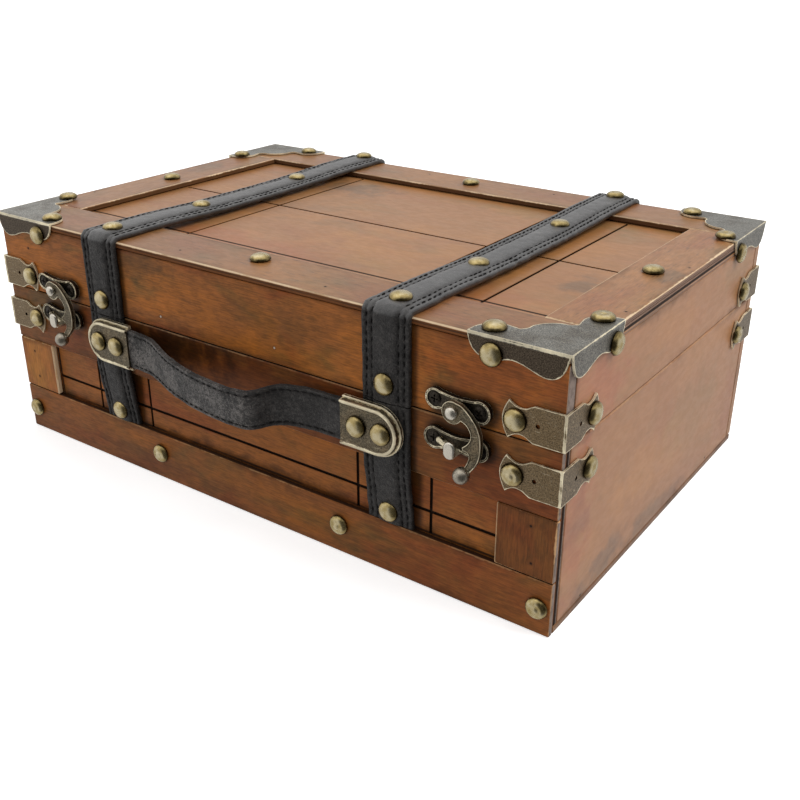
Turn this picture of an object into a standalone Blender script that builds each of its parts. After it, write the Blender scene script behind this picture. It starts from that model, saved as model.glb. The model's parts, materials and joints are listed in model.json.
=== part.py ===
# Wooden suitcase box: a small hinged case of thin boards with an applied frame, two leather
# straps, a leather carrying handle, bronze corner hardware and two swinging hook latches.
# Frame: X along the length, Y from the front (-) to the back (+), Z up, origin in the middle
# of the underside. All lengths are in metres.

import math

import bmesh
import bpy
from mathutils import Matrix, Vector

MM = 0.001

# Case
case_length = 300.0 * MM
case_depth = 195.0 * MM
case_height = 112.0 * MM
lid_height = 35.0 * MM
split_gap = 0.4 * MM
fit_gap = 0.3 * MM
edge_round = 0.5 * MM

# Boards
strip_thick = 2.7 * MM
front_panel_thick = 2.6 * MM
top_panel_thick = 2.8 * MM
floor_thick = 3.0 * MM
bottom_rail_height = 23.4 * MM
top_rail_height = 27.0 * MM
stile_width = 24.5 * MM
long_strip_width = 27.6 * MM
side_strip_width = 24.5 * MM

# Grooves
groove_width = 1.4 * MM
groove_depth = 1.1 * MM
groove_from_strap = 17.6 * MM
groove_stop = 1.8 * MM
front_groove_rise = 9.9 * MM
cut_over = 2.0 * MM

# Straps
strap_from_end = 72.0 * MM
strap_width = 21.4 * MM
strap_thick = 3.0 * MM
strap_corner_round = 1.0 * MM
strap_dip_length = 11.5 * MM
strap_dip_start = 1.6 * MM
strap_hinge_clearance = 3.2 * MM
strap_front_nail_rise = 7.2 * MM
strap_low_nail_rise = 5.6 * MM
bend_steps = 3

# Domed nails
nail_radius = 4.6 * MM
nail_height = 2.6 * MM
nail_shank_radius = 0.8 * MM
nail_shank_length = 4.8 * MM
nail_hole_radius = 1.1 * MM
nail_seat = 0.35 * MM
nail_sides = 10
hole_sides = 8
round_sides = 12

# Corner brackets
sheet_thick = 0.8 * MM
bracket_reach_x = 38.5 * MM
bracket_reach_y = 39.5 * MM
bracket_drop = 9.2 * MM
bracket_slit = 0.5 * MM

# Corner braces
brace_length = 23.4 * MM
brace_height = 14.0 * MM
lower_brace_drop = 20.5 * MM
brace_nail_reach = 18.3 * MM
brace_side_nail_reach = 21.4 * MM

# Handle
handle_drop = 11.3 * MM
handle_width = 17.5 * MM
handle_thick = 2.2 * MM
handle_bow = 15.4 * MM
handle_tilt = math.radians(8.0)
handle_droop = 1.0 * MM
plate_inner_reach = 18.0 * MM
plate_outer_reach = 9.2 * MM
plate_half_height = 10.5 * MM
plate_thick = 0.8 * MM
plate_bead_height = 0.5 * MM
plate_round_steps = 7
rivet_from_strap = (-10.4 * MM, 1.0 * MM)

# Latches
latch_from_end = {"left": 39.0 * MM, "right": 41.0 * MM}
latch_plate_thick = 1.5 * MM
latch_rim_height = 0.6 * MM
latch_rim_width = 0.9 * MM
keeper_lobe_reach = 9.3 * MM
keeper_lobe_radius = 4.4 * MM
hanger_left_lobe_radius = 4.0 * MM
latch_waist = 3.6 * MM
pivot_rise = 5.3 * MM
keeper_drop = 8.0 * MM
hook_reach = 22.8 * MM
hook_thick = 2.2 * MM
hook_hub_radius = 4.3 * MM
hook_ball_radius = 3.2 * MM
hook_ball_rise = 3.7 * MM
ball_steps = 8
hook_rest_turn = math.radians(6.0)
hook_engaged_turn = math.radians(-12.5)
pivot_pin_radius = 1.55 * MM
pivot_head_radius = 2.8 * MM
pivot_head_height = 1.6 * MM
pin_clearance = 0.3 * MM
post_radius = 1.2 * MM
post_head_width = 4.4 * MM
post_head_height = 7.0 * MM
post_head_thick = 1.6 * MM
post_head_shift = 0.5 * MM
tongue_width = 2.0 * MM
screw_radius = 2.3 * MM
screw_rise = 0.5 * MM

# Hinges
hinge_from_end = 43.0 * MM
hinge_width = 26.0 * MM
hinge_leaf_height = 15.0 * MM
hinge_leaf_thick = 1.0 * MM
knuckle_radius = 2.3 * MM
knuckle_gap = 0.4 * MM
knuckle_steps = 9
hinge_pin_radius = 0.9 * MM
hinge_pin_head_radius = 1.5 * MM
hinge_pin_head_length = 0.7 * MM

# Places and sizes that follow from the ones above
wall = strip_thick + fit_gap + front_panel_thick
half_length = case_length / 2
front_y = -case_depth / 2
back_y = case_depth / 2
body_top = case_height - lid_height
lid_bottom = body_top + split_gap
hinge_axis = Vector((0, back_y + fit_gap + knuckle_radius, (body_top + lid_bottom) / 2))
strap_level = fit_gap
plate_level = strap_level + strap_thick + fit_gap
hook_level = fit_gap + latch_plate_thick + latch_rim_height + 2 * fit_gap + fit_gap
strip_level = case_height - strip_thick
strap_centre = half_length - strap_from_end
plate_inner_end = strap_centre - plate_inner_reach
plate_outer_end = strap_centre + plate_outer_reach
handle_height = body_top - handle_drop
lower_brace_base = body_top - lower_brace_drop
pivot_height = lid_bottom + pivot_rise
keeper_height = body_top - keeper_drop
hinge_centre = half_length - hinge_from_end
front_groove_height = bottom_rail_height + front_groove_rise
front_band = body_top - top_rail_height - bottom_rail_height

# Colours: base colour, roughness, metallic
looks = {
    "front_wood": ((0.31, 0.10, 0.028), 0.42, 0.0),
    "side_wood": ((0.36, 0.15, 0.075), 0.48, 0.0),
    "top_wood": ((0.42, 0.19, 0.085), 0.46, 0.0),
    "inside_wood": ((0.55, 0.36, 0.20), 0.7, 0.0),
    "leather": ((0.035, 0.032, 0.034), 0.55, 0.0),
    "bronze": ((0.16, 0.145, 0.12), 0.42, 1.0),
    "latch_bronze": ((0.20, 0.17, 0.12), 0.36, 1.0),
    "nail_brass": ((0.47, 0.39, 0.23), 0.34, 1.0),
    "hinge_brass": ((0.40, 0.31, 0.16), 0.38, 1.0),
}

# Dome of a nail: share of the radius, share of the height.
nail_dome_shares = ((0.0, 1.0), (0.52, 0.86), (0.88, 0.45), (1.0, 0.12))
# Outline shares, chosen by hand. Bracket flange: along the edge, down the face.
flange_shares = (
    (0.03, 0.50), (0.08, 0.84), (0.17, 1.0), (0.28, 0.94), (0.39, 0.76), (0.52, 0.67),
    (0.64, 0.70), (0.76, 0.82), (0.88, 0.74), (0.96, 0.42), (1.0, 0.0),
)
# Bracket top: along X from the corner, along Y from the corner.
bracket_top_shares = (
    (1.0, 0.0), (0.98, 0.12), (0.90, 0.23), (0.79, 0.27), (0.68, 0.27), (0.60, 0.34),
    (0.53, 0.47), (0.47, 0.53), (0.34, 0.60), (0.27, 0.68), (0.27, 0.79), (0.23, 0.90),
    (0.12, 0.98), (0.0, 1.0),
)
# Nails of a bracket: on the top (two), on the front flange and on the side flange.
bracket_top_nail_shares = ((0.826, 0.145), (0.145, 0.894))
bracket_front_nail_share = 0.745
bracket_side_nail_share = 0.83
bracket_nail_drop_share = 0.62
# Brace leg: along the leg, across its half height.
brace_shares = (
    (0.50, 1.0), (0.62, 0.79), (0.78, 0.76), (0.93, 1.0), (1.0, 0.40), (1.0, -0.40),
    (0.93, -1.0), (0.78, -0.76), (0.62, -0.79), (0.50, -1.0),
)
# Hook outline below its hub, outer edge down and inner edge up: across, along the reach.
hook_outer_shares = (
    (0.18, 0.135), (0.28, 0.045), (0.38, -0.085), (0.44, -0.19), (0.478, -0.34),
    (0.478, -0.50), (0.452, -0.65), (0.395, -0.80), (0.325, -0.90), (0.25, -0.975),
)
hook_inner_shares = (
    (0.15, -0.93), (0.215, -0.83), (0.24, -0.76), (0.26, -0.70), (0.242, -0.645),
    (0.15, -0.61), (0.14, -0.56), (0.232, -0.495), (0.298, -0.408), (0.315, -0.325),
    (0.298, -0.263), (0.263, -0.197), (0.215, -0.149),
)
hook_hub_from = math.radians(-38.0)
hook_hub_to = math.radians(-297.0)
hook_ball_shares = (0.175, -0.982)
hook_bend_start_share = 0.76
notch_shares = (0.189, -0.71)
# Handle bow in plan: along half the span between the plates, out from the case.
handle_bow_shares = (
    (-1.00, 0.0), (-0.88, 0.02), (-0.72, 0.12), (-0.42, 0.58), (-0.13, 0.87), (0.13, 0.99),
    (0.28, 1.0), (0.385, 0.93), (0.435, 0.68), (0.475, 0.40), (0.56, 0.18), (0.68, 0.06),
    (0.80, 0.01), (1.00, 0.0),
)
handle_run_steps = 2
# Other shares: nails in the rails and the top frame, the side nail of a brace, the step in the
# rim of a handle plate, the lobes of a hook plate, the catch head and the hinge screws.
rail_inner_nail_share = 0.176
rail_inner_nail_lift_share = 0.4
top_nail_inset_shares = {"front": 0.65, "back": 0.49, "side": 0.53}
brace_side_share = 0.92
plate_step_share = 0.45
hanger_left_lift_share = 0.43
hanger_right_lift_share = 0.27
hook_neck_share = 0.7
dip_room_share = 0.45
dip_round_share = 1.04
head_drop_share = 0.55
hinge_screw_share = 0.3
# Nails over the strap: along the lid's depth from the middle, as shares of half the depth.
strap_top_nail_shares = (-0.923, -0.37, 0.35, 0.955)


owner_inverse = {}


def clear_scene():
    for item in list(bpy.data.objects):
        bpy.data.objects.remove(item, do_unlink=True)


def make_material(name, look):
    colour, roughness, metallic = looks[look]
    material = bpy.data.materials.new(name + "_finish")
    material.use_nodes = True
    shader = material.node_tree.nodes["Principled BSDF"]
    shader.inputs["Base Color"].default_value = (*colour, 1.0)
    shader.inputs["Roughness"].default_value = roughness
    shader.inputs["Metallic"].default_value = metallic
    material.diffuse_color = (*colour, 1.0)
    return material


def mesh_from(name, build):
    mesh = bpy.data.meshes.new(name)
    shape = bmesh.new()
    build(shape)
    bmesh.ops.recalc_face_normals(shape, faces=shape.faces)
    shape.to_mesh(mesh)
    shape.free()
    return mesh


def add_object(name, mesh, look=None, owner=None, place=None):
    item = bpy.data.objects.new(name, mesh)
    bpy.context.scene.collection.objects.link(item)
    item.matrix_world = place if place else Matrix.Identity(4)
    if look:
        mesh.materials.clear()
        mesh.materials.append(make_material(name, look))
    if owner:
        item.parent = owner
        item.matrix_parent_inverse = owner_inverse[owner.name]
    return item


def add_axis(name, place, owner=None):
    axis = bpy.data.objects.new(name, None)
    bpy.context.scene.collection.objects.link(axis)
    axis.matrix_world = Matrix.Translation(place)
    if owner:
        axis.parent = owner
        axis.matrix_parent_inverse = owner_inverse[owner.name]
    owner_inverse[name] = Matrix.Translation(place).inverted()
    return axis


def hide_helper(item):
    item.hide_render = True
    item.display_type = "WIRE"


def smooth(item, angle=math.radians(35.0)):
    item.data.shade_smooth()
    item.data.set_sharp_from_angle(angle=angle)


def box_mesh(name, size):
    def build(shape):
        bmesh.ops.create_cube(shape, size=1.0)
        bmesh.ops.scale(shape, vec=size, verts=shape.verts)
    return mesh_from(name, build)


def add_board(name, low, high, look, owner=None, rounding=edge_round):
    low = Vector(low)
    high = Vector(high)
    board = add_object(name, box_mesh(name, high - low), look, owner,
                       Matrix.Translation((low + high) / 2))
    if rounding:
        bevel = board.modifiers.new("worn edge", "BEVEL")
        bevel.width = rounding
        bevel.segments = 1
    return board


def combine(item, helper, operation):
    hide_helper(helper)
    step = item.modifiers.new(operation.lower(), "BOOLEAN")
    step.operation = operation
    step.solver = "EXACT"
    step.object = helper
    return step


def cut_box(item, name, low, high):
    low = Vector(low)
    high = Vector(high)
    cutter = add_object(name, box_mesh(name, high - low), place=Matrix.Translation((low + high) / 2))
    combine(item, cutter, "DIFFERENCE")


# A frame whose Z points out of a face: front, back, left, right or top.
def face_frame(face, place=(0, 0, 0)):
    turns = {
        "front": Matrix(((1, 0, 0), (0, 0, -1), (0, 1, 0))),
        "back": Matrix(((-1, 0, 0), (0, 0, 1), (0, 1, 0))),
        "right": Matrix(((0, 0, 1), (1, 0, 0), (0, 1, 0))),
        "left": Matrix(((0, 0, -1), (-1, 0, 0), (0, 1, 0))),
        "top": Matrix.Identity(3),
    }
    return Matrix.Translation(place) @ turns[face].to_4x4()


def extrude_outline(shape, points, low, high):
    corners = [shape.verts.new((x, y, low)) for x, y in points]
    base = shape.faces.new(corners)
    grown = bmesh.ops.extrude_face_region(shape, geom=[base])
    moved = [part for part in grown["geom"] if isinstance(part, bmesh.types.BMVert)]
    bmesh.ops.translate(shape, verts=moved, vec=(0, 0, high - low))
    return [part for part in grown["geom"] if isinstance(part, bmesh.types.BMFace)]


def outline_mesh(name, points, low, high):
    return mesh_from(name, lambda shape: extrude_outline(shape, points, low, high))


# A turned shape about Z from a profile of (radius, height) that starts and ends on the axis.
def turned_mesh(name, profile, sides):
    def build(shape):
        rings = []
        for radius, height in profile:
            if radius == 0:
                rings.append([shape.verts.new((0, 0, height))] * sides)
            else:
                rings.append([shape.verts.new((radius * math.cos(2 * math.pi * k / sides),
                                               radius * math.sin(2 * math.pi * k / sides),
                                               height)) for k in range(sides)])
        for upper, lower in zip(rings, rings[1:]):
            for k in range(sides):
                following = (k + 1) % sides
                loop = [upper[k], lower[k], lower[following], upper[following]]
                corners = list(dict.fromkeys(loop))
                shape.faces.new(corners)
    return mesh_from(name, build)


# A section of (across, up) points carried along stations of (place, across, up) vectors.
def swept_mesh(name, section, stations):
    def build(shape):
        rings = []
        for place, across, up, width in stations:
            rings.append([shape.verts.new(place + across * (a * width) + up * b)
                          for a, b in section])
        count = len(section)
        for first, second in zip(rings, rings[1:]):
            for k in range(count):
                following = (k + 1) % count
                shape.faces.new((first[k], first[following], second[following], second[k]))
        shape.faces.new(rings[0])
        shape.faces.new(list(reversed(rings[-1])))
    return mesh_from(name, build)


def arc_points(centre, radius, start, end, steps):
    turn = (end - start) / steps
    return [(centre[0] + radius * math.cos(start + turn * k),
             centre[1] + radius * math.sin(start + turn * k)) for k in range(steps + 1)]


# A polyline in a plane with its corners rounded: (point, radius) pairs.
def rounded_path(corners, steps=bend_steps):
    path = [Vector(corners[0][0])]
    for (before, _), (corner, radius), (after, _) in zip(corners, corners[1:], corners[2:]):
        before, corner, after = Vector(before), Vector(corner), Vector(after)
        incoming = (corner - before).normalized()
        outgoing = (after - corner).normalized()
        bend = incoming.angle(outgoing)
        reach = radius * math.tan(bend / 2)
        start = corner - incoming * reach
        side = 1 if incoming.x * outgoing.y - incoming.y * outgoing.x > 0 else -1
        normal = Vector((-incoming.y, incoming.x)) * side
        centre = start + normal * radius
        for k in range(steps + 1):
            turn = Matrix.Rotation(side * bend * k / steps, 2)
            path.append(centre + turn @ (start - centre))
    path.append(Vector(corners[-1][0]))
    return path


def nail_profile(with_shank):
    dome = [(u * nail_radius, v * nail_height) for u, v in nail_dome_shares]
    if with_shank:
        return dome + [(nail_radius, 0), (nail_shank_radius, 0),
                       (nail_shank_radius, -nail_shank_length), (0, -nail_shank_length)]
    return dome + [(nail_radius, -nail_seat), (0, -nail_seat)]


def fuse_nail(item, face, place, lift=0):
    name = item.name + "_nail"
    if "nail_head" not in bpy.data.meshes:
        turned_mesh("nail_head", nail_profile(False), nail_sides)
    frame = face_frame(face, place) @ Matrix.Translation((0, 0, lift))
    nail = add_object(name, bpy.data.meshes["nail_head"], place=frame)
    combine(item, nail, "UNION")


def drill(item, face, place):
    depth = nail_shank_length + fit_gap + cut_over
    profile = [(0, cut_over), (nail_hole_radius, cut_over), (nail_hole_radius, cut_over - depth),
               (0, cut_over - depth)]
    cutter = add_object(item.name + "_hole", turned_mesh("hole_cutter", profile, hole_sides),
                        place=face_frame(face, place))
    combine(item, cutter, "DIFFERENCE")


def add_free_nail(name, face, place, carriers, owner=None):
    nail = add_object(name, turned_mesh(name, nail_profile(True), nail_sides), "nail_brass",
                      owner, face_frame(face, place) @ Matrix.Translation((0, 0, fit_gap)))
    smooth(nail)
    for carrier in carriers:
        drill(carrier, face, place)
    return nail


# Body of the case

def build_body():
    inner_front = front_y + strip_thick + fit_gap
    seat = floor_thick + fit_gap
    side_front = front_y + wall + fit_gap
    add_board("bottom_board", (-half_length, inner_front, 0), (half_length, back_y, floor_thick),
              "inside_wood")
    panel = add_board("front_panel", (-half_length, inner_front, seat),
                      (half_length, inner_front + front_panel_thick, body_top), "front_wood")
    add_board("body_back_board", (-half_length, back_y - wall, seat),
              (half_length, back_y, body_top), "side_wood")
    for side, name in ((-1, "body_left_board"), (1, "body_right_board")):
        faces = sorted((side * (half_length - wall), side * half_length))
        add_board(name, (faces[0], side_front, seat),
                  (faces[1], -side_front, body_top), "side_wood")
    strip_back = front_y + strip_thick
    rail = add_board("front_bottom_rail", (-half_length, front_y, 0),
                     (half_length, strip_back, bottom_rail_height), "front_wood")
    top_rail_low = body_top - top_rail_height
    add_board("front_top_rail", (-half_length, front_y, top_rail_low),
              (half_length, strip_back, body_top), "front_wood")
    for side, name in ((-1, "front_left_stile"), (1, "front_right_stile")):
        faces = sorted((side * (half_length - stile_width), side * half_length))
        add_board(name, (faces[0], front_y, bottom_rail_height + fit_gap),
                  (faces[1], strip_back, top_rail_low - fit_gap), "front_wood")
    cut_front_grooves(panel, inner_front, top_rail_low)
    low_nail = bottom_rail_height / 2
    for name, x, z in rail_nail_places(low_nail):
        add_free_nail(name, "front", (x, front_y, z), (rail, panel))


def rail_nail_places(low_nail):
    corner = half_length - nail_radius - fit_gap * 3
    inner = case_length * rail_inner_nail_share
    lift = nail_radius * rail_inner_nail_lift_share
    return (("rail_nail_far_left", -corner, low_nail), ("rail_nail_left", -inner, low_nail + lift),
            ("rail_nail_right", inner, low_nail + lift), ("rail_nail_far_right", corner, low_nail))


def cut_front_grooves(panel, face, top_rail_low):
    floor = face + groove_depth
    opening = face - cut_over
    low = bottom_rail_height
    high = top_rail_low - groove_stop
    for side in (-1, 1):
        for step in (-1, 1):
            centre = side * strap_centre + step * groove_from_strap
            cut_box(panel, "front_groove_cut", (centre - groove_width / 2, opening, low),
                    (centre + groove_width / 2, floor, high))
    reach = half_length - stile_width
    cut_box(panel, "front_long_groove_cut",
            (-reach, opening, front_groove_height - groove_width / 2),
            (reach, floor, front_groove_height + groove_width / 2))


# Lid

def build_lid(lid):
    panel_top = strip_level - fit_gap
    side_front = front_y + wall + fit_gap
    add_board("lid_front_board", (-half_length, front_y, lid_bottom),
              (half_length, front_y + wall, panel_top), "front_wood", lid)
    add_board("lid_back_board", (-half_length, back_y - wall, lid_bottom),
              (half_length, back_y, panel_top), "side_wood", lid)
    side_top = panel_top - top_panel_thick - fit_gap
    for side, name in ((-1, "lid_left_board"), (1, "lid_right_board")):
        faces = sorted((side * (half_length - wall), side * half_length))
        add_board(name, (faces[0], side_front, lid_bottom), (faces[1], -side_front, side_top),
                  "side_wood", lid)
    panel = add_board("lid_top_panel", (-half_length, side_front, panel_top - top_panel_thick),
                      (half_length, -side_front, panel_top), "top_wood", lid)
    strips = build_top_frame(lid)
    cut_top_grooves(panel, panel_top)
    along = top_nail_places()
    for name, strip, x, y in along:
        add_free_nail(name, "top", (x, y, case_height), (strips[strip], panel), lid)


def build_top_frame(lid):
    inner_y = -front_y - long_strip_width
    strips = {}
    for name, low, high in (("front", front_y, -inner_y), ("back", inner_y, back_y)):
        strips[name] = add_board("top_" + name + "_strip", (-half_length, low, strip_level),
                                 (half_length, high, case_height), "top_wood", lid)
    for side, name in ((-1, "left"), (1, "right")):
        faces = sorted((side * (half_length - side_strip_width), side * half_length))
        strips[name] = add_board("top_" + name + "_strip", (faces[0], fit_gap - inner_y, strip_level),
                                 (faces[1], inner_y - fit_gap, case_height), "top_wood", lid)
    return strips


def top_nail_places():
    front = front_y + long_strip_width * top_nail_inset_shares["front"]
    back = back_y - long_strip_width * top_nail_inset_shares["back"]
    side = half_length - side_strip_width * top_nail_inset_shares["side"]
    return (("top_nail_front", "front", 0, front), ("top_nail_back", "back", 0, back),
            ("top_nail_left", "left", -side, 0), ("top_nail_right", "right", side, 0))


def cut_top_grooves(panel, face):
    floor = face - groove_depth
    opening = face + cut_over
    reach_y = -front_y - long_strip_width
    for side in (-1, 1):
        for step in (-1, 1):
            centre = side * strap_centre + step * groove_from_strap
            cut_box(panel, "top_groove_cut", (centre - groove_width / 2, -reach_y, floor),
                    (centre + groove_width / 2, reach_y, opening))
    reach_x = half_length - side_strip_width
    cut_box(panel, "top_long_groove_cut", (-reach_x, -groove_width / 2, floor),
            (reach_x, groove_width / 2, opening))


# Straps

# Half section of a stitched strap: share of half the width, share of the thickness.
strap_section_shares = ((0.94, 0.0), (1.0, 0.3), (0.95, 0.74), (0.74, 0.80), (0.56, 1.0))


def strap_section(width, thick):
    right = [(share * width / 2, rise * thick) for share, rise in strap_section_shares]
    left = [(-across, up) for across, up in reversed(right)]
    return right + left


# Stations of a strap whose underside follows a path of (y, z) points, with the outer side up.
def strap_stations(path, centre, outward):
    stations = []
    for index, point in enumerate(path):
        before = path[max(index - 1, 0)]
        after = path[min(index + 1, len(path) - 1)]
        run = (after - before).normalized()
        up = Vector((0, -run.y * outward, run.x * outward))
        stations.append((Vector((centre, point.x, point.y)), Vector((1, 0, 0)), up, 1.0))
    return stations


def add_strap(name, path, centre, outward, owner=None):
    mesh = swept_mesh(name, strap_section(strap_width, strap_thick),
                      strap_stations(path, centre, outward))
    strap = add_object(name, mesh, "leather", owner)
    smooth(strap)
    return strap


# How far a dip reaches along a strap, and how wide its two bends are, in the room it has.
def strap_dip(room):
    length = min(strap_dip_length, room * dip_room_share)
    return length, length * dip_round_share


def lid_strap_path():
    out = -front_y + strap_level
    high = case_height + strap_level
    low = strip_level - fit_gap + strap_level
    frame_edge = -front_y - long_strip_width
    dip_start = frame_edge - strap_dip_start
    length, bend = strap_dip(frame_edge)
    dip_end = dip_start - length
    corners = [((-out, lid_bottom), 0), ((-out, high), strap_corner_round),
               ((-dip_start, high), bend), ((-dip_end, low), bend),
               ((dip_end, low), bend), ((dip_start, high), bend),
               ((out, high), strap_corner_round), ((out, lid_bottom + strap_hinge_clearance), 0)]
    return rounded_path(corners)


def body_strap_path():
    out = front_y - strap_level
    sunk = front_y + strip_thick + fit_gap - strap_level
    dip_start = body_top - top_rail_height - strap_dip_start
    length, bend = strap_dip(front_band)
    dip_end = dip_start - length
    corners = [((out, body_top), 0), ((out, dip_start), bend),
               ((sunk, dip_end), bend), ((sunk, bottom_rail_height + fit_gap), 0)]
    return rounded_path(corners)


def build_straps(lid):
    top_of_strap = case_height + strap_level + strap_thick
    sunk_strap = top_of_strap - strip_thick - fit_gap
    for side, name in ((-1, "left"), (1, "right")):
        centre = side * strap_centre
        strap = add_strap("lid_" + name + "_strap", lid_strap_path(), centre, 1, lid)
        for share in strap_top_nail_shares:
            level = top_of_strap if abs(share) > 0.5 else sunk_strap
            fuse_nail(strap, "top", (centre, share * back_y, level))
        out = back_y + strap_level + strap_thick
        nail_at = lid_bottom + strap_front_nail_rise
        fuse_nail(strap, "front", (centre, -out, nail_at))
        fuse_nail(strap, "back", (centre, out, nail_at + nail_radius))
        front = add_strap("body_" + name + "_strap", body_strap_path(), centre, -1)
        low_nail = bottom_rail_height + strap_low_nail_rise
        sunk = front_y + strip_thick + fit_gap - strap_level - strap_thick
        fuse_nail(front, "front", (centre, sunk, low_nail))
        back_path = [Vector((back_y + strap_level, bottom_rail_height + fit_gap)),
                     Vector((back_y + strap_level, body_top - strap_hinge_clearance))]
        back = add_strap("back_" + name + "_strap", back_path, centre, -1)
        fuse_nail(back, "back", (centre, out, low_nail))


# Corner brackets and braces

def mirrored(points, side):
    return [(x * side, y) for x, y in points]


# Flat sheet of a bracket or brace on one face, in that face's own frame.
def add_sheet(name, face, place, points, low=0):
    return add_object(name, outline_mesh(name, points, low, low + sheet_thick),
                      place=face_frame(face, place))


def bracket_flange(reach, side):
    lap = fit_gap + sheet_thick
    points = [(bracket_slit - lap, lap)]
    points += [(share * reach, -drop * bracket_drop) for share, drop in flange_shares]
    points.append((reach, lap))
    return mirrored(points, side)


def build_bracket(name, side_x, side_y, lid):
    lap = fit_gap + sheet_thick
    corner = Vector((side_x * half_length, side_y * back_y, case_height))
    top = [(-lap, -lap), (bracket_reach_x, -lap)]
    top += [(u * bracket_reach_x, v * bracket_reach_y) for u, v in bracket_top_shares]
    top.append((-lap, bracket_reach_y))
    top = [(-side_x * u, -side_y * v) for u, v in top]
    bracket = add_object(name, outline_mesh(name, top, fit_gap, lap), "bronze", lid,
                         face_frame("top", corner))
    front_face = "front" if side_y < 0 else "back"
    side_face = "right" if side_x > 0 else "left"
    front_turn = -side_x if side_y < 0 else side_x
    side_turn = 1 if side_x * side_y < 0 else -1
    for face, reach, turn, start in ((front_face, bracket_reach_x, front_turn, corner),
                                     (side_face, bracket_reach_y, side_turn, corner)):
        flange = add_sheet(name + "_flange", face, start, bracket_flange(reach, turn), fit_gap)
        combine(bracket, flange, "UNION")
    for u, v in bracket_top_nail_shares:
        spot = corner + Vector((-side_x * u * bracket_reach_x, -side_y * v * bracket_reach_y, lap))
        fuse_nail(bracket, "top", spot)
    drop = -bracket_nail_drop_share * bracket_drop
    spot = corner + Vector((-side_x * bracket_front_nail_share * bracket_reach_x, side_y * lap, drop))
    fuse_nail(bracket, front_face, spot)
    spot = corner + Vector((side_x * lap, -side_y * bracket_side_nail_share * bracket_reach_y, drop))
    fuse_nail(bracket, side_face, spot)


def brace_leg(turn):
    lap = fit_gap + sheet_thick
    points = [(-lap, brace_height / 2)]
    points += [(u * brace_length, v * brace_height / 2) for u, v in brace_shares]
    points.append((-lap, -brace_height / 2))
    return mirrored(points, turn)


def build_brace(name, side_x, side_y, base, owner=None):
    lap = fit_gap + sheet_thick
    corner = Vector((side_x * half_length, side_y * back_y, base + brace_height / 2))
    front_face = "front" if side_y < 0 else "back"
    side_face = "right" if side_x > 0 else "left"
    front_turn = -side_x if side_y < 0 else side_x
    side_turn = 1 if side_x * side_y < 0 else -1
    frame = face_frame(front_face, corner)
    brace = add_object(name, outline_mesh(name, brace_leg(front_turn), fit_gap, lap), "bronze",
                       owner, frame)
    leg = add_sheet(name + "_side_leg", side_face, corner, brace_leg(side_turn), fit_gap)
    combine(brace, leg, "UNION")
    fuse_nail(brace, front_face, corner + Vector((-side_x * brace_nail_reach, side_y * lap, 0)))
    fuse_nail(brace, side_face,
              corner + Vector((side_x * lap, -side_y * brace_side_nail_reach * brace_side_share, 0)))


def build_corner_hardware(lid):
    for side_x, across in ((-1, "left"), (1, "right")):
        for side_y, depth in ((-1, "front"), (1, "back")):
            corner = depth + "_" + across
            build_bracket("bracket_" + corner, side_x, side_y, lid)
            build_brace("lid_brace_" + corner, side_x, side_y, lid_bottom + fit_gap, lid)
            build_brace("body_brace_" + corner, side_x, side_y, lower_brace_base)


# Handle

def catmull(points, steps):
    padded = [points[0]] + list(points) + [points[-1]]
    path = []
    for a, b, c, d in zip(padded, padded[1:], padded[2:], padded[3:]):
        for k in range(steps):
            t = k / steps
            path.append(0.5 * ((2 * b) + (c - a) * t + (2 * a - 5 * b + 4 * c - d) * t ** 2
                               + (3 * b - a - 3 * c + d) * t ** 3))
    path.append(Vector(points[-1]))
    return path


# Rounded ends of the handle strap under the plates: along from the last full width.
def handle_end_widths(radius):
    angles = [math.radians(degrees) for degrees in (72.0, 50.0, 25.0)]
    return [(radius * math.sin(angle), math.cos(angle)) for angle in angles]


def handle_stations():
    under = front_y - plate_level
    radius = handle_width / 2
    full = plate_outer_end - plate_half_height
    bow = [Vector((u * plate_inner_end, d * handle_bow)) for u, d in handle_bow_shares]
    plan = catmull(bow, handle_run_steps)
    ends = [(Vector((full + reach, 0)), width) for reach, width in handle_end_widths(radius)]
    places = [(Vector((-place.x, 0)), width) for place, width in ends]
    places.append((Vector((-full, 0)), 1.0))
    places += [(point, 1.0) for point in plan]
    places.append((Vector((full, 0)), 1.0))
    places += list(reversed(ends))
    stations = []
    for index, (point, width) in enumerate(places):
        before = places[max(index - 1, 0)][0]
        after = places[min(index + 1, len(places) - 1)][0]
        run = (after - before).normalized()
        along = Vector((run.x, -run.y, 0))
        share = point.y / handle_bow
        lean = Matrix.Rotation(handle_tilt * share, 3, along)
        up = lean @ Vector((-run.y, -run.x, 0))
        across = lean @ Vector((0, 0, 1))
        place = Vector((point.x, under - point.y, handle_height - handle_droop * share))
        stations.append((place, across, up, width))
    return stations


handle_section_shares = ((0.95, 0.0), (1.0, 0.3), (1.0, 0.7), (0.93, 0.92), (0.78, 1.0))


def build_handle():
    right = [(u * handle_width / 2, v * handle_thick) for u, v in handle_section_shares]
    section = right + [(-a, b) for a, b in reversed(right)]
    strap = add_object("handle_strap", swept_mesh("handle_strap", section, handle_stations()),
                       "leather")
    smooth(strap)
    for side, name in ((-1, "left"), (1, "right")):
        build_handle_plate("handle_plate_" + name, side)


# Rim of a handle plate, from the leather's edge outward: across, out from the strap below.
def plate_rim_section(leather_top):
    wall_top = leather_top + fit_gap
    flange = plate_half_height - handle_width / 2 - fit_gap
    field = wall_top + plate_thick
    bead = field + plate_bead_height
    step = wall_top - (wall_top - 0) * plate_step_share
    return [(0, 0), (flange, 0), (flange, step), (flange * 0.72, step + fit_gap),
            (flange * 0.42, step + fit_gap), (flange * 0.3, field), (0, bead),
            (-plate_thick, bead), (-plate_thick * 1.6, field), (-plate_thick * 1.6, wall_top),
            (0, wall_top)]


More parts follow.
